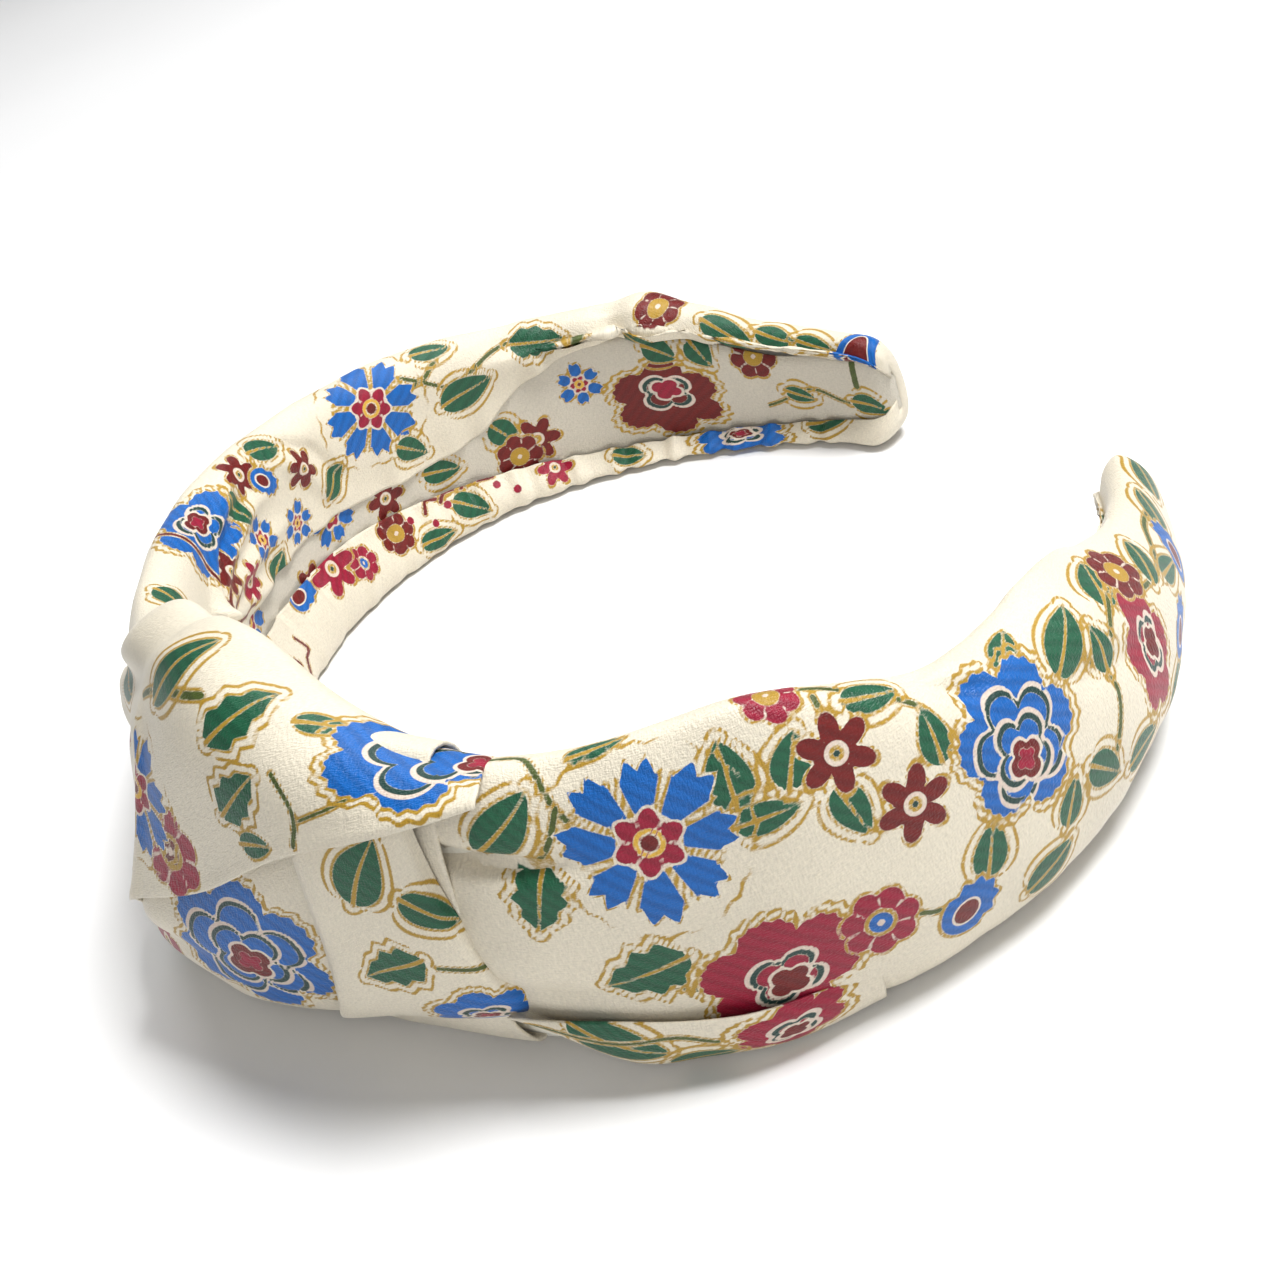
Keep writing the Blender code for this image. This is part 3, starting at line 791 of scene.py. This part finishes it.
def print_near(sheet):
    each(stem, sheet, ([(62, 42.5), (69, 41.4), (72, 37), (74, 34.5)],),
         ([(72, 37), (70.4, 33.5), (68.2, 31)],), ([(87, 35), (88.6, 34)],),
         ([(95, 41), (99, 41), (104, 38), (109, 34), (111, 30)],), ([(99.5, 40), (99.4, 37)],),
         ([(98, 16), (104, 12), (109, 12.5)],), ([(76, 15), (81, 12.5), (86, 12)],),
         ([(128, 29), (131, 25), (133, 20), (129, 13)],))
    each(leaf, sheet, (66, 36.6, 52, 9.2, 5.2, 1, 0, -0.5), (68.1, 27.8, -95, 7.4, 6.8, 1, 0.34),
         (89, 36.8, 82, 7.6, 5), (91.2, 31.6, -4, 7.6, 3.6), (95.2, 36, 60, 6.2, 4.4),
         (98.8, 28.6, -80, 7, 4), (104.8, 37.4, -25, 6.6, 3.2),
         (109, 31, 75, 6.5, 3.8, 1, 0, 0, False), (111, 15.4, 60, 7, 4.6),
         (75.8, 16.5, 190, 10, 7.4, 1, 0.34), (129.2, 28.6, 20, 9, 5.4), (127.4, 13, -55, 7, 4.4),
         (77, 41.6, 10, 7, 2.4, 1, 0, 0, False), (117.5, 7.2, 10, 8, 4.6), (140, 28, 30, 7, 5))
    each(stem, sheet, ([(146, 23), (153, 21), (160, 22), (168, 20)],),
         ([(133, 22), (137, 26), (142, 27), (147, 25)],))
    each(leaf, sheet, (151.5, 23.2, 30, 7, 4), (155.5, 18.6, -30, 7, 3.6),
         (133.4, 24.8, 70, 6, 3.6), (135, 10, -10, 8, 4.2), (147, 9, 20, 8, 4.2),
         (122, 32, 20, 6, 3.4, 1, 0, 0, False), (121.5, 13.5, 50, 6, 3.8), (166, 20.4, 15, 8, 3.8),
         (174.5, 19.6, 15, 8, 4.2), (160, 9, 20, 9, 4.4))
    each(star, sheet, (99.3, 34.7, 20, 4.4), (104.7, 25.8, 0, 4.4))
    round_flower(sheet, 95.5, 42.6, 0, 3.4, 1, "crimson", "gold")
    each(peony, sheet, (117.8, 25, 75, (18, 17), "blue", 1, (-0.18, 0)),
         (87.6, 12.4, 15, (19, 15), "crimson"))
    round_flower(sheet, 98.2, 14.1, 0, 4.5)
    bud(sheet, 107.4, 10, 20, (8, 6.8))
    peony(sheet, 141.5, 18.5, 80, (17, 9.5), "crimson")
    round_flower(sheet, 145, 26, 0, 4, 1, "maroon", "gold")
    each(bud, sheet, (161, 17.5, 60, (9, 5)), (152, 13, 10, (9, 5)))
    cornflower(sheet, 79.9, 32.2, 12, 9.6)
    print_hidden_inner(sheet)


def print_hidden_inner(sheet):
    """The turned hems of the near arm, which face the head."""
    leaf(sheet, 70, 36, 20, 9, 5, -1)
    cornflower(sheet, 88, 30, 0, 8.5, -1)
    leaf(sheet, 101, 28, -10, 10, 5, -1, jag=0.25)
    star(sheet, 113, 27, 0, 3.6, -1)
    leaf(sheet, 122, 26, 15, 9, 4.6, -1)
    peony(sheet, 138, 25, 0, (12, 8), "blue", -1)
    each(leaf, sheet, (152, 21, 10, 8, 4, -1), (170, 16, 0, 8, 3.6, -1))
    peony(sheet, 90, 5, 0, (11, 8), "crimson", -1)
    leaf(sheet, 105, 4, 0, 8, 4, -1)
    bud(sheet, 125, 3, 0, (9, 5), -1)


def print_far(sheet):
    each(stem, sheet, ([(-92, 30), (-99, 28), (-104, 30)], -1),
         ([(-97, 30), (-103, 26), (-106, 24)], -1),
         ([(-108, 26), (-116, 28), (-122, 27), (-131, 25)], -1))
    peony(sheet, -42, 34.2, 10, (19, 14.5), "blue", -1)
    leaf(sheet, -17, 37, 120, 8, 5, -1)
    each(star, sheet, (-58, 34.5, 0, 3.6, -1), (-71, 28, 20, 3.2, -1))
    leaf(sheet, -66.5, 34, 10, 7, 4.2, -1)
    cornflower(sheet, -89.6, 28.5, 10, 8.6, -1)
    each(leaf, sheet, (-94, 18.5, 20, 6.5, 4, -1), (-107.1, 23.2, -35, 9.5, 5.4, -1),
         (-104, 31.2, -10, 7, 3.4, -1), (-121.5, 26.5, -5, 9, 6, -1, 0.25),
         (-154, 20.4, -8, 10, 4.4, -1), (-139, 22.6, 14, 5.6, 3.4, -1, 0, 0, False))
    round_flower(sheet, -143, 25.8, 0, 3.4, -1, "maroon", "gold")
    each(leaf, sheet, (-162, 19, -8, 7, 3.4, -1), (-169, 17.5, 0, 7, 2.8, -1),
         (-168, 5, -8, 8, 3.2, -1))
    bud(sheet, -177.5, 16.6, 0, (13, 9), -1)
    # Maroon stripes along the fan pleats by the knot: painted shade that darkens the pleats, drawn as
    # printed stems.
    for z in (15, 19, 23, 27):
        stem(sheet, [(-24, 24), (-33, 0.5 * (24 + z)), (-46, z)], -1, 0.8, "maroon")
    for s in (-33, -38, -43, -48):
        stem(sheet, [(s, 2.5), (s - 2, 5.5), (s - 4.5, 6), (s - 3, 9)], -1, 0.8, "maroon")
    for s in (-91, -95, -99, -103):
        stem(sheet, [(s, 7.5), (s - 1.5, 9.2), (s - 3.5, 8.6)], -1, 0.8, "maroon")
    leaf(sheet, -53, 31, 60, 7, 3.6, -1)
    star(sheet, -47, 22, 30, 3.2, -1, "crimson")
    leaf(sheet, -57, 18, -40, 7, 3.6, -1)
    bud(sheet, -62, 30.5, 40, (6, 4), -1)
    leaf(sheet, -77, 22, -50, 7, 3.8, -1)
    round_flower(sheet, -75, 7.6, 0, 3, -1)
    leaf(sheet, -91, 3.4, 0, 7, 3.4, -1)
    each(cornflower, sheet, (-55.5, 24.5, 0, 3.8, -1, 6, False), (-66, 21, 20, 3.6, -1, 6, False))
    each(star, sheet, (-41, 27.5, 0, 3.4, -1), (-68.7, 10.5, 0, 4.6, -1, "crimson"))
    bud(sheet, -59.4, 11.7, 0, (7, 5), -1)
    round_flower(sheet, -84, 8, 0, 3.6, -1, "maroon", "gold")
    leaf(sheet, -100, 5, 30, 7, 4.4, -1)
    dots(sheet, [(-88, 8), (-92, 5.5), (-96, 7), (-106, 6), (-109, 4)], -1, 0.7)
    star(sheet, -117, 4.5, 0, 3.2, -1, "crimson")
    leaf(sheet, -131, 3, 10, 6, 3.2, -1)
    peony(sheet, -152, 2.5, 0, (16, 6), "blue", -1)
    print_far_outside(sheet)


def print_far_outside(sheet):
    """The outer face of the far arm: the same flowers at the same scale as the near arm's."""
    each(stem, sheet, ([(-60, 30), (-68, 24), (-76, 20)],), ([(-93, 26), (-101, 22), (-106, 17)],),
         ([(-120, 22), (-128, 20), (-135, 13)],))
    cornflower(sheet, -84, 20, 0, 9.4)
    each(leaf, sheet, (-64, 28, 30, 11, 5.6), (-70, 12, -20, 10, 7, 1, 0.28), (-96, 29, 20, 9, 5),
         (-101, 15, -60, 9, 6.5, 1, 0.28))
    each(star, sheet, (-98, 6, 0, 4), (-106, 26, 10, 4))
    peony(sheet, -116, 14, 10, (18, 16), "blue")
    each(leaf, sheet, (-128, 24, 10, 9, 5), (-131, 9, -20, 9, 6, 1, 0.28))
    peony(sheet, -144, 13, 0, (16, 13), "crimson")
    round_flower(sheet, -157, 16, 0, 4.2)
    bud(sheet, -165, 10, 0, (8, 6))
    leaf(sheet, -172, 13, 15, 8, 4.4)
    peony(sheet, -48, 18, 0, (17, 15), "crimson")
    leaf(sheet, -40, 30, 60, 9, 5)
    bud(sheet, -60, 6, 20, (8, 6))
    leaf(sheet, -85, 6, 0, 9, 4.6)


def print_lining(sheet, side):
    """Small flowers and leaves on the lining, the same on both halves."""
    def at(t):
        return side * t
    cornflower(sheet, at(126.4), 16.8, 0, 3.9, -1, 6, False)
    peony(sheet, at(140), 11, 0, (19, 14), "maroon", -1)
    each(leaf, sheet, (at(141.5), 19.2, 20, 6, 4.2, -1), (at(148), 17.8, 40, 6, 4.2, -1))
    round_flower(sheet, at(157), 15.8, 0, 3.9, -1, "maroon", "gold")
    stem(sheet, [(at(158), 7), (at(166), 9.6), (at(172), 7.6), (at(178), 7)], -1, 0.6)
    each(leaf, sheet, (at(164), 8.6, 20, 5.5, 2.6, -1), (at(177), 7.4, 0, 7, 3.4, -1))
    stem(sheet, [(at(175.2), 15.6), (at(175.6), 10.6)], -1, 1.3)
    leaf(sheet, at(110.8), 12.9, 45, 6.5, 4.6, -1)
    star(sheet, at(116), 10, 0, 4, -1)
    round_flower(sheet, at(111.9), 8.2, 0, 4, -1, "maroon", "gold")
    leaf(sheet, at(98), 12, 10, 7, 4, -1)
    star(sheet, at(86), 13, 0, 3.6, -1)
    for k, t in enumerate((12, 28, 44, 60, 74)):
        if k % 2:
            leaf(sheet, at(t), 20 + k, 30, 8, 4.6, -1)
            star(sheet, at(t + 4), 10, 0, 3.8, -1)
        else:
            cornflower(sheet, at(t), 17, 0, 5, -1, 7, False)
            leaf(sheet, at(t + 7), 28, 60, 7, 4, -1)


def print_strap(sheet):
    each(stem, sheet, ([(18.6, 45.6), (24, 48.4), (33, 49.9)],),
         ([(43.5, 44), (46.2, 40.6), (45.8, 37)],), ([(47, 40), (52, 42), (57, 43.5)], 1, 0.5))
    each(leaf, sheet, (26.5, 51, 22, 13, 4.8, 1, 0, 0.4), (37.6, 48.4, 14, 10.5, 5.6, 1, 0.3),
         (38, 41, 14, 8.5, 5.8, 1, 0.3), (40, 35.9, -20, 5.4, 3, 1, 0, 0, False),
         (47.5, 47.8, -10, 7, 2.6, 1, 0, 0, False))
    peony(sheet, 57.4, 42.6, 0, (21, 15), "blue", 1, (0.42, -0.22))
    round_flower(sheet, 24.5, 30.2, 0, 5.6, 1, "crimson", "maroon")
    cornflower(sheet, 17.5, 35, 0, 8)
    leaf(sheet, 4, 40, -30, 9, 4.4)
    peony(sheet, -12, 24, 20, (17, 15), "crimson")
    each(leaf, sheet, (2, 20, 60, 10, 5.4), (-24, 12, 20, 9, 7, 1, 0.3))
    star(sheet, 0, 11, 0, 4)
    bud(sheet, -8, 10, 0, (8, 6))


def print_loop(sheet):
    peony(sheet, 30.5, 18.2, -12, (25, 20), "blue", 1, (0, -0.10))
    star(sheet, 14, 12, 0, 4, 1, "crimson")
    leaf(sheet, 2, 6, 20, 9, 4.8)


def print_fold(sheet):
    for s in (-1, 2.5, 6, 9.5, 13, 16.5):
        z = 13 + 0.45 * s
        stem(sheet, [(s - 1.6, z - 6), (s, z), (s + 1.6, z + 6)], 1, 0.9, "crimson")


def print_middle(sheet):
    each(leaf, sheet, (52, 33.6, 44, 9.4, 5.8, 1, 0, 0.5), (51.3, 20.4, 184, 8.6, 5.8, 1, 0.32))
    stem(sheet, [(56, 20.4), (58.4, 19.8), (60.2, 19.4)], 1, 0.7)
    leaf(sheet, 57, 27.8, -60, 7.5, 3.8)
    peony(sheet, 57.6, 12.4, 0, (15, 8), "blue")


def print_flap(sheet):
    leaf(sheet, 70.6, 7.6, -10, 12, 5.6)
    stem(sheet, [(62, 11), (67, 9), (75, 8), (80, 6)], 1, 0.6)
    peony(sheet, 87, 5, 0, (14, 7), "crimson")
    leaf(sheet, 78, 3, 10, 8, 4)


def print_wrap(sheet):
    for s, z in ((-20, 30), (4, 22), (28, 30)):
        peony(sheet, s, z, 10, (15, 13), "blue", -1)
        leaf(sheet, s + 12, z - 10, 30, 10, 5, -1)
        star(sheet, s + 10, z + 8, 0, 3.8, -1)


# ---- materials ----
def srgb(r, g, b):
    def linear(c):
        c = c / 255.0
        return c / 12.92 if c <= 0.04045 else ((c + 0.055) / 1.055) ** 2.4
    return (linear(r), linear(g), linear(b), 1.0)


IVORY = srgb(221, 212, 192)
# The lining's ground is darker than the sleeves' ivory: painted shade for the inside of the band, which
# lies in shade.
SHADED_LINING_IVORY = srgb(200, 193, 178)
INK_COLOURS = {
    "gold": srgb(172, 136, 44), "green": srgb(26, 88, 60), "stem": srgb(74, 88, 34),
    "blue": srgb(4, 96, 178), "crimson": srgb(150, 12, 48), "maroon": srgb(108, 18, 14),
    "dark": srgb(22, 58, 52), "pale": srgb(214, 196, 182), "yellow": srgb(214, 170, 60),
}
TWILLED = ("green", "blue", "crimson", "maroon", "stem")   # inks that show the twill


class Nodes:
    """Small helper that adds and links shader nodes."""

    def __init__(self, name):
        self.material = bpy.data.materials.new(name)
        self.material.use_nodes = True
        self.tree = self.material.node_tree
        self.tree.nodes.clear()

    def add(self, kind, inputs=(), **settings):
        node = self.tree.nodes.new(kind)
        for key, value in settings.items():
            setattr(node, key, value)
        for key, value in dict(inputs).items():
            if isinstance(value, bpy.types.NodeSocket):
                self.tree.links.new(value, node.inputs[key])
            else:
                node.inputs[key].default_value = value
        return node

    def math(self, operation, a, b=0.0, c=0.0):
        node = self.add("ShaderNodeMath", {0: a, 1: b, 2: c}, operation=operation)
        return node.outputs[0]

    def remap(self, value, low, high, to_low=0.0, to_high=1.0):
        node = self.add("ShaderNodeMapRange", {"Value": value, "From Min": low, "From Max": high,
                                               "To Min": to_low, "To Max": to_high})
        return node.outputs["Result"]

    def mix(self, factor, a, b):
        return self.add("ShaderNodeMix", {0: factor, 6: a, 7: b}, data_type='RGBA').outputs[2]

    def noise(self, vector, scale, detail, rough=0.5):
        return self.add("ShaderNodeTexNoise", {"Vector": vector, "Scale": scale, "Detail": detail,
                                               "Roughness": rough}).outputs[0]

    def finish(self, colour, roughness, height, strength, **more):
        """Bump, shader and output; returns the material."""
        bumped = self.add("ShaderNodeBump", {"Strength": strength, "Distance": 0.0003,
                                             "Height": height})
        inputs = {"Base Color": colour, "Roughness": roughness, "Normal": bumped.outputs[0]}
        inputs.update((key.replace("_", " "), value) for key, value in more.items())
        shader = self.add("ShaderNodeBsdfPrincipled", inputs)
        self.add("ShaderNodeOutputMaterial", {"Surface": shader.outputs[0]})
        return self.material


def printed_satin(name, ground, roughness, sheen):
    """Crepe-backed satin: woven thread bump, uneven ink edges, soft gloss along the threads."""
    n = Nodes(name)
    uv = n.add("ShaderNodeUVMap", uv_map="cloth").outputs[0]
    warp = n.add("ShaderNodeMapping", {"Vector": uv, "Scale": (1800.0, 5200.0, 1.0)}).outputs[0]
    weft = n.add("ShaderNodeMapping", {"Vector": uv, "Scale": (4200.0, 1500.0, 1.0),
                                       "Rotation": (0.0, 0.0, 0.6)}).outputs[0]
    threads = n.noise(warp, 1.0, 2.0, 0.6)
    cross = n.noise(weft, 1.0, 1.0)
    cloudy = n.noise(uv, 60.0, 2.0)
    twill = n.add("ShaderNodeTexWave", {"Vector": uv, "Scale": 330.0, "Distortion": 1.5,
                                        "Detail": 1.0}, wave_type='BANDS',
                  bands_direction='DIAGONAL').outputs[1]
    fray = n.math('MULTIPLY', n.math('SUBTRACT', threads, 0.5), 0.20)
    shade = n.remap(cloudy, 0.3, 0.7, 0.94, 1.03)
    colour = ground
    for ink in INKS:
        d = n.add("ShaderNodeAttribute", attribute_name=ink, attribute_type='GEOMETRY').outputs["Fac"]
        mask = n.remap(n.math('ADD', d, fray), 0.07, -0.07)
        deep = tuple(0.62 * c for c in INK_COLOURS[ink][:3]) + (1.0,)
        inked = INK_COLOURS[ink]
        if ink in TWILLED:
            inked = n.mix(n.remap(twill, 0.25, 0.9, 0.0, 0.55), INK_COLOURS[ink], deep)
        colour = n.mix(mask, colour, inked)
    weave = n.remap(n.math('ADD', threads, n.math('MULTIPLY', cross, 0.6)), 0.5, 1.1, 0.85, 1.08)
    tone = n.math('MULTIPLY', shade, weave)
    toned = n.add("ShaderNodeVectorMath", {0: colour, 1: n.add(
        "ShaderNodeCombineXYZ", {0: tone, 1: tone, 2: tone}).outputs[0]}, operation='MULTIPLY')
    rough = n.remap(n.math('ADD', threads, cloudy), 0.6, 1.4, roughness - 0.07, roughness + 0.09)
    height = n.math('ADD', threads, n.math('MULTIPLY', cross, 0.8))
    return n.finish(toned.outputs[0], rough, height, 0.5, Sheen_Weight=sheen, Sheen_Roughness=0.45,
                    Specular_IOR_Level=0.36)


def plain_material(name, colour, roughness, scale, strength):
    n = Nodes(name)
    coords = n.add("ShaderNodeTexCoord").outputs["Object"]
    grain = n.noise(coords, scale, 3.0)
    dark = tuple(0.88 * c for c in colour[:3]) + (1.0,)
    base = n.mix(grain, dark, colour)
    rough = n.remap(grain, 0.3, 0.7, roughness - 0.06, roughness + 0.06)
    return n.finish(base, rough, grain, strength)


# ---- stage, lights and camera ----
FLOOR = 3.0              # half the floor's side, in metres
WORLD_LIGHT = 0.22
LIGHT_TARGET = (0.0, 0.0, 0.02)


def make_stage():
    mesh = mesh_from("floor", FLOOR * np.array([(-1, -1, 0), (1, -1, 0), (1, 1, 0), (-1, 1, 0)]),
                     [np.array([[0, 1, 2, 3]])])
    floor = add_object("floor", mesh)
    mesh.materials.append(plain_material("pale_floor", (0.9, 0.9, 0.9, 1.0), 0.6, 4.0, 0.0))
    world = bpy.data.worlds.new("soft_white")
    world.use_nodes = True
    background = world.node_tree.nodes["Background"]
    background.inputs[0].default_value = (1.0, 1.0, 1.0, 1.0)
    background.inputs[1].default_value = WORLD_LIGHT
    bpy.context.scene.world = world


def area_light(name, place, size, power):
    lamp = bpy.data.lights.new(name, 'AREA')
    lamp.shape = 'DISK'
    lamp.size = size
    lamp.energy = power
    thing = add_object(name, lamp)
    thing.location = place
    aim = Vector(LIGHT_TARGET) - Vector(place)
    thing.rotation_euler = aim.to_track_quat('-Z', 'Y').to_euler()


CAMERA_AZIMUTH = 1.316
CAMERA_ELEVATION = 0.530
CAMERA_ROLL = -0.339
CAMERA_DISTANCE = 0.2797
CAMERA_TARGET = (0.0, 0.0069, 0.018)
CAMERA_LENS = 58.24
CAMERA_SHIFT = (0.0089, -0.0457)


def make_camera():
    az, el, roll = CAMERA_AZIMUTH, CAMERA_ELEVATION, CAMERA_ROLL
    back = Vector((math.sin(az) * math.cos(el), -math.cos(az) * math.cos(el), math.sin(el)))
    right = Vector((math.cos(az), math.sin(az), 0.0))
    up = back.cross(right)
    across = math.cos(roll) * right + math.sin(roll) * up
    upward = -math.sin(roll) * right + math.cos(roll) * up
    data = bpy.data.cameras.new("camera")
    data.lens = CAMERA_LENS
    data.sensor_width = 36.0
    data.shift_x, data.shift_y = CAMERA_SHIFT
    data.clip_start = 0.01
    camera = add_object("camera", data)
    place = Vector(CAMERA_TARGET) + back * CAMERA_DISTANCE
    turn = Matrix((across, upward, back)).transposed().to_4x4()
    camera.matrix_world = Matrix.Translation(place) @ turn
    bpy.context.scene.camera = camera


def light_scene():
    area_light("key", (0.15, 0.30, 0.75), 0.32, 9.0)
    area_light("fill", (0.70, -0.20, 0.45), 0.5, 1.6)
    area_light("rim", (-0.45, 0.05, 0.55), 0.4, 1.6)


# ---- assembly ----
def flex_point(s):
    return tuple(float(v) for v in band_point(s, 0.0, FLEX_HEIGHT))


def follow_arm(piece, side):
    flex_point(side * FLEX_START)
    flex_point(side * FLEX_END)
    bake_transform(piece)


# flat size of each cut of cloth, in metres
KNOT = [(knot_wrap, print_wrap, ["knot_wrap"], (0.075, 0.095)),
        (upper_strap, print_strap, ["knot_upper_strap"], (0.085, 0.048)),
        (lower_loop, print_loop, ["knot_lower_loop"], (0.073, 0.040)),
        (middle_strap, print_middle, ["knot_middle_strap"], (0.022, 0.036)),
        (rolled_fold, print_fold, [], (0.026, 0.013))]


def add_sheet(sheet, material, slot, side, nodes):
    """Build a printed sheet; side is 0 on the crown, where the sheet is attached to the crown's body,
    and otherwise the arm it lies on, where only its transform is baked in.
    """
    piece = sheet.build(material, slot)
    if side:
        follow_arm(piece, side)
    else:
        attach(piece, "crown")
    if nodes:
        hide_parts(*nodes)


def add_arms(satin, inner):
    near = near_sleeve()
    print_near(near)
    add_sheet(near, satin, "cover_satin", 1, ["right_sleeve", "right_gathered_end"])
    far = far_sleeve()
    print_far(far)
    add_sheet(far, satin, "cover_satin", -1, ["left_sleeve", "left_gathered_end"])
    for side, arm in ((1, "right"), (-1, "left")):
        sheet = lining(side)
        print_lining(sheet, side)
        nodes = [f"lining_{arm}_arm"] + (["lining_crown"] if side > 0 else [])
        add_sheet(sheet, inner, "lining_satin", side, nodes)
    flap = lower_flap()
    print_flap(flap)
    add_sheet(flap, satin, "cover_satin", 1, [])


def add_foam(material):
    arm_start, arm_end = HINGE_S + FOAM_GAP, ARM_END - FOAM_TIP
    for body, start, end in (("crown", FOAM_GAP - HINGE_S, HINGE_S - FOAM_GAP),
                             ("right_arm", arm_start, arm_end),
                             ("left_arm", -arm_start, -arm_end)):
        pad = foam_pad(f"foam_{body}", start, end, material)
        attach(pad, body)
        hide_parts(f"foam_pad_{body}")


def main():
    make_stage()
    light_scene()
    make_camera()
    bpy.context.scene.view_settings.view_transform = 'Standard'
    satin = printed_satin("printed_satin", IVORY, 0.38, 0.04)
    # The lining's copy of the satin takes the darker ground, which is painted shade.
    inner = printed_satin("lining_satin", SHADED_LINING_IVORY, 0.46, 0.03)
    plastic = plain_material("strip_plastic", srgb(226, 224, 216), 0.45, 900.0, 0.1)
    foam = plain_material("pad_foam", srgb(238, 234, 220), 0.9, 2500.0, 0.6)
    for node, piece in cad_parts.items():
        chosen = plastic if node.startswith("core") else foam if node.startswith("foam") else satin
        piece.data.materials.clear()
        piece.data.materials.append(chosen)
    add_arms(satin, inner)
    add_foam(foam)
    for make, decorate, nodes, flat in KNOT:
        sheet = make()
        decorate(sheet)
        add_sheet(sheet, satin, "cover_satin", 0, nodes)


main()
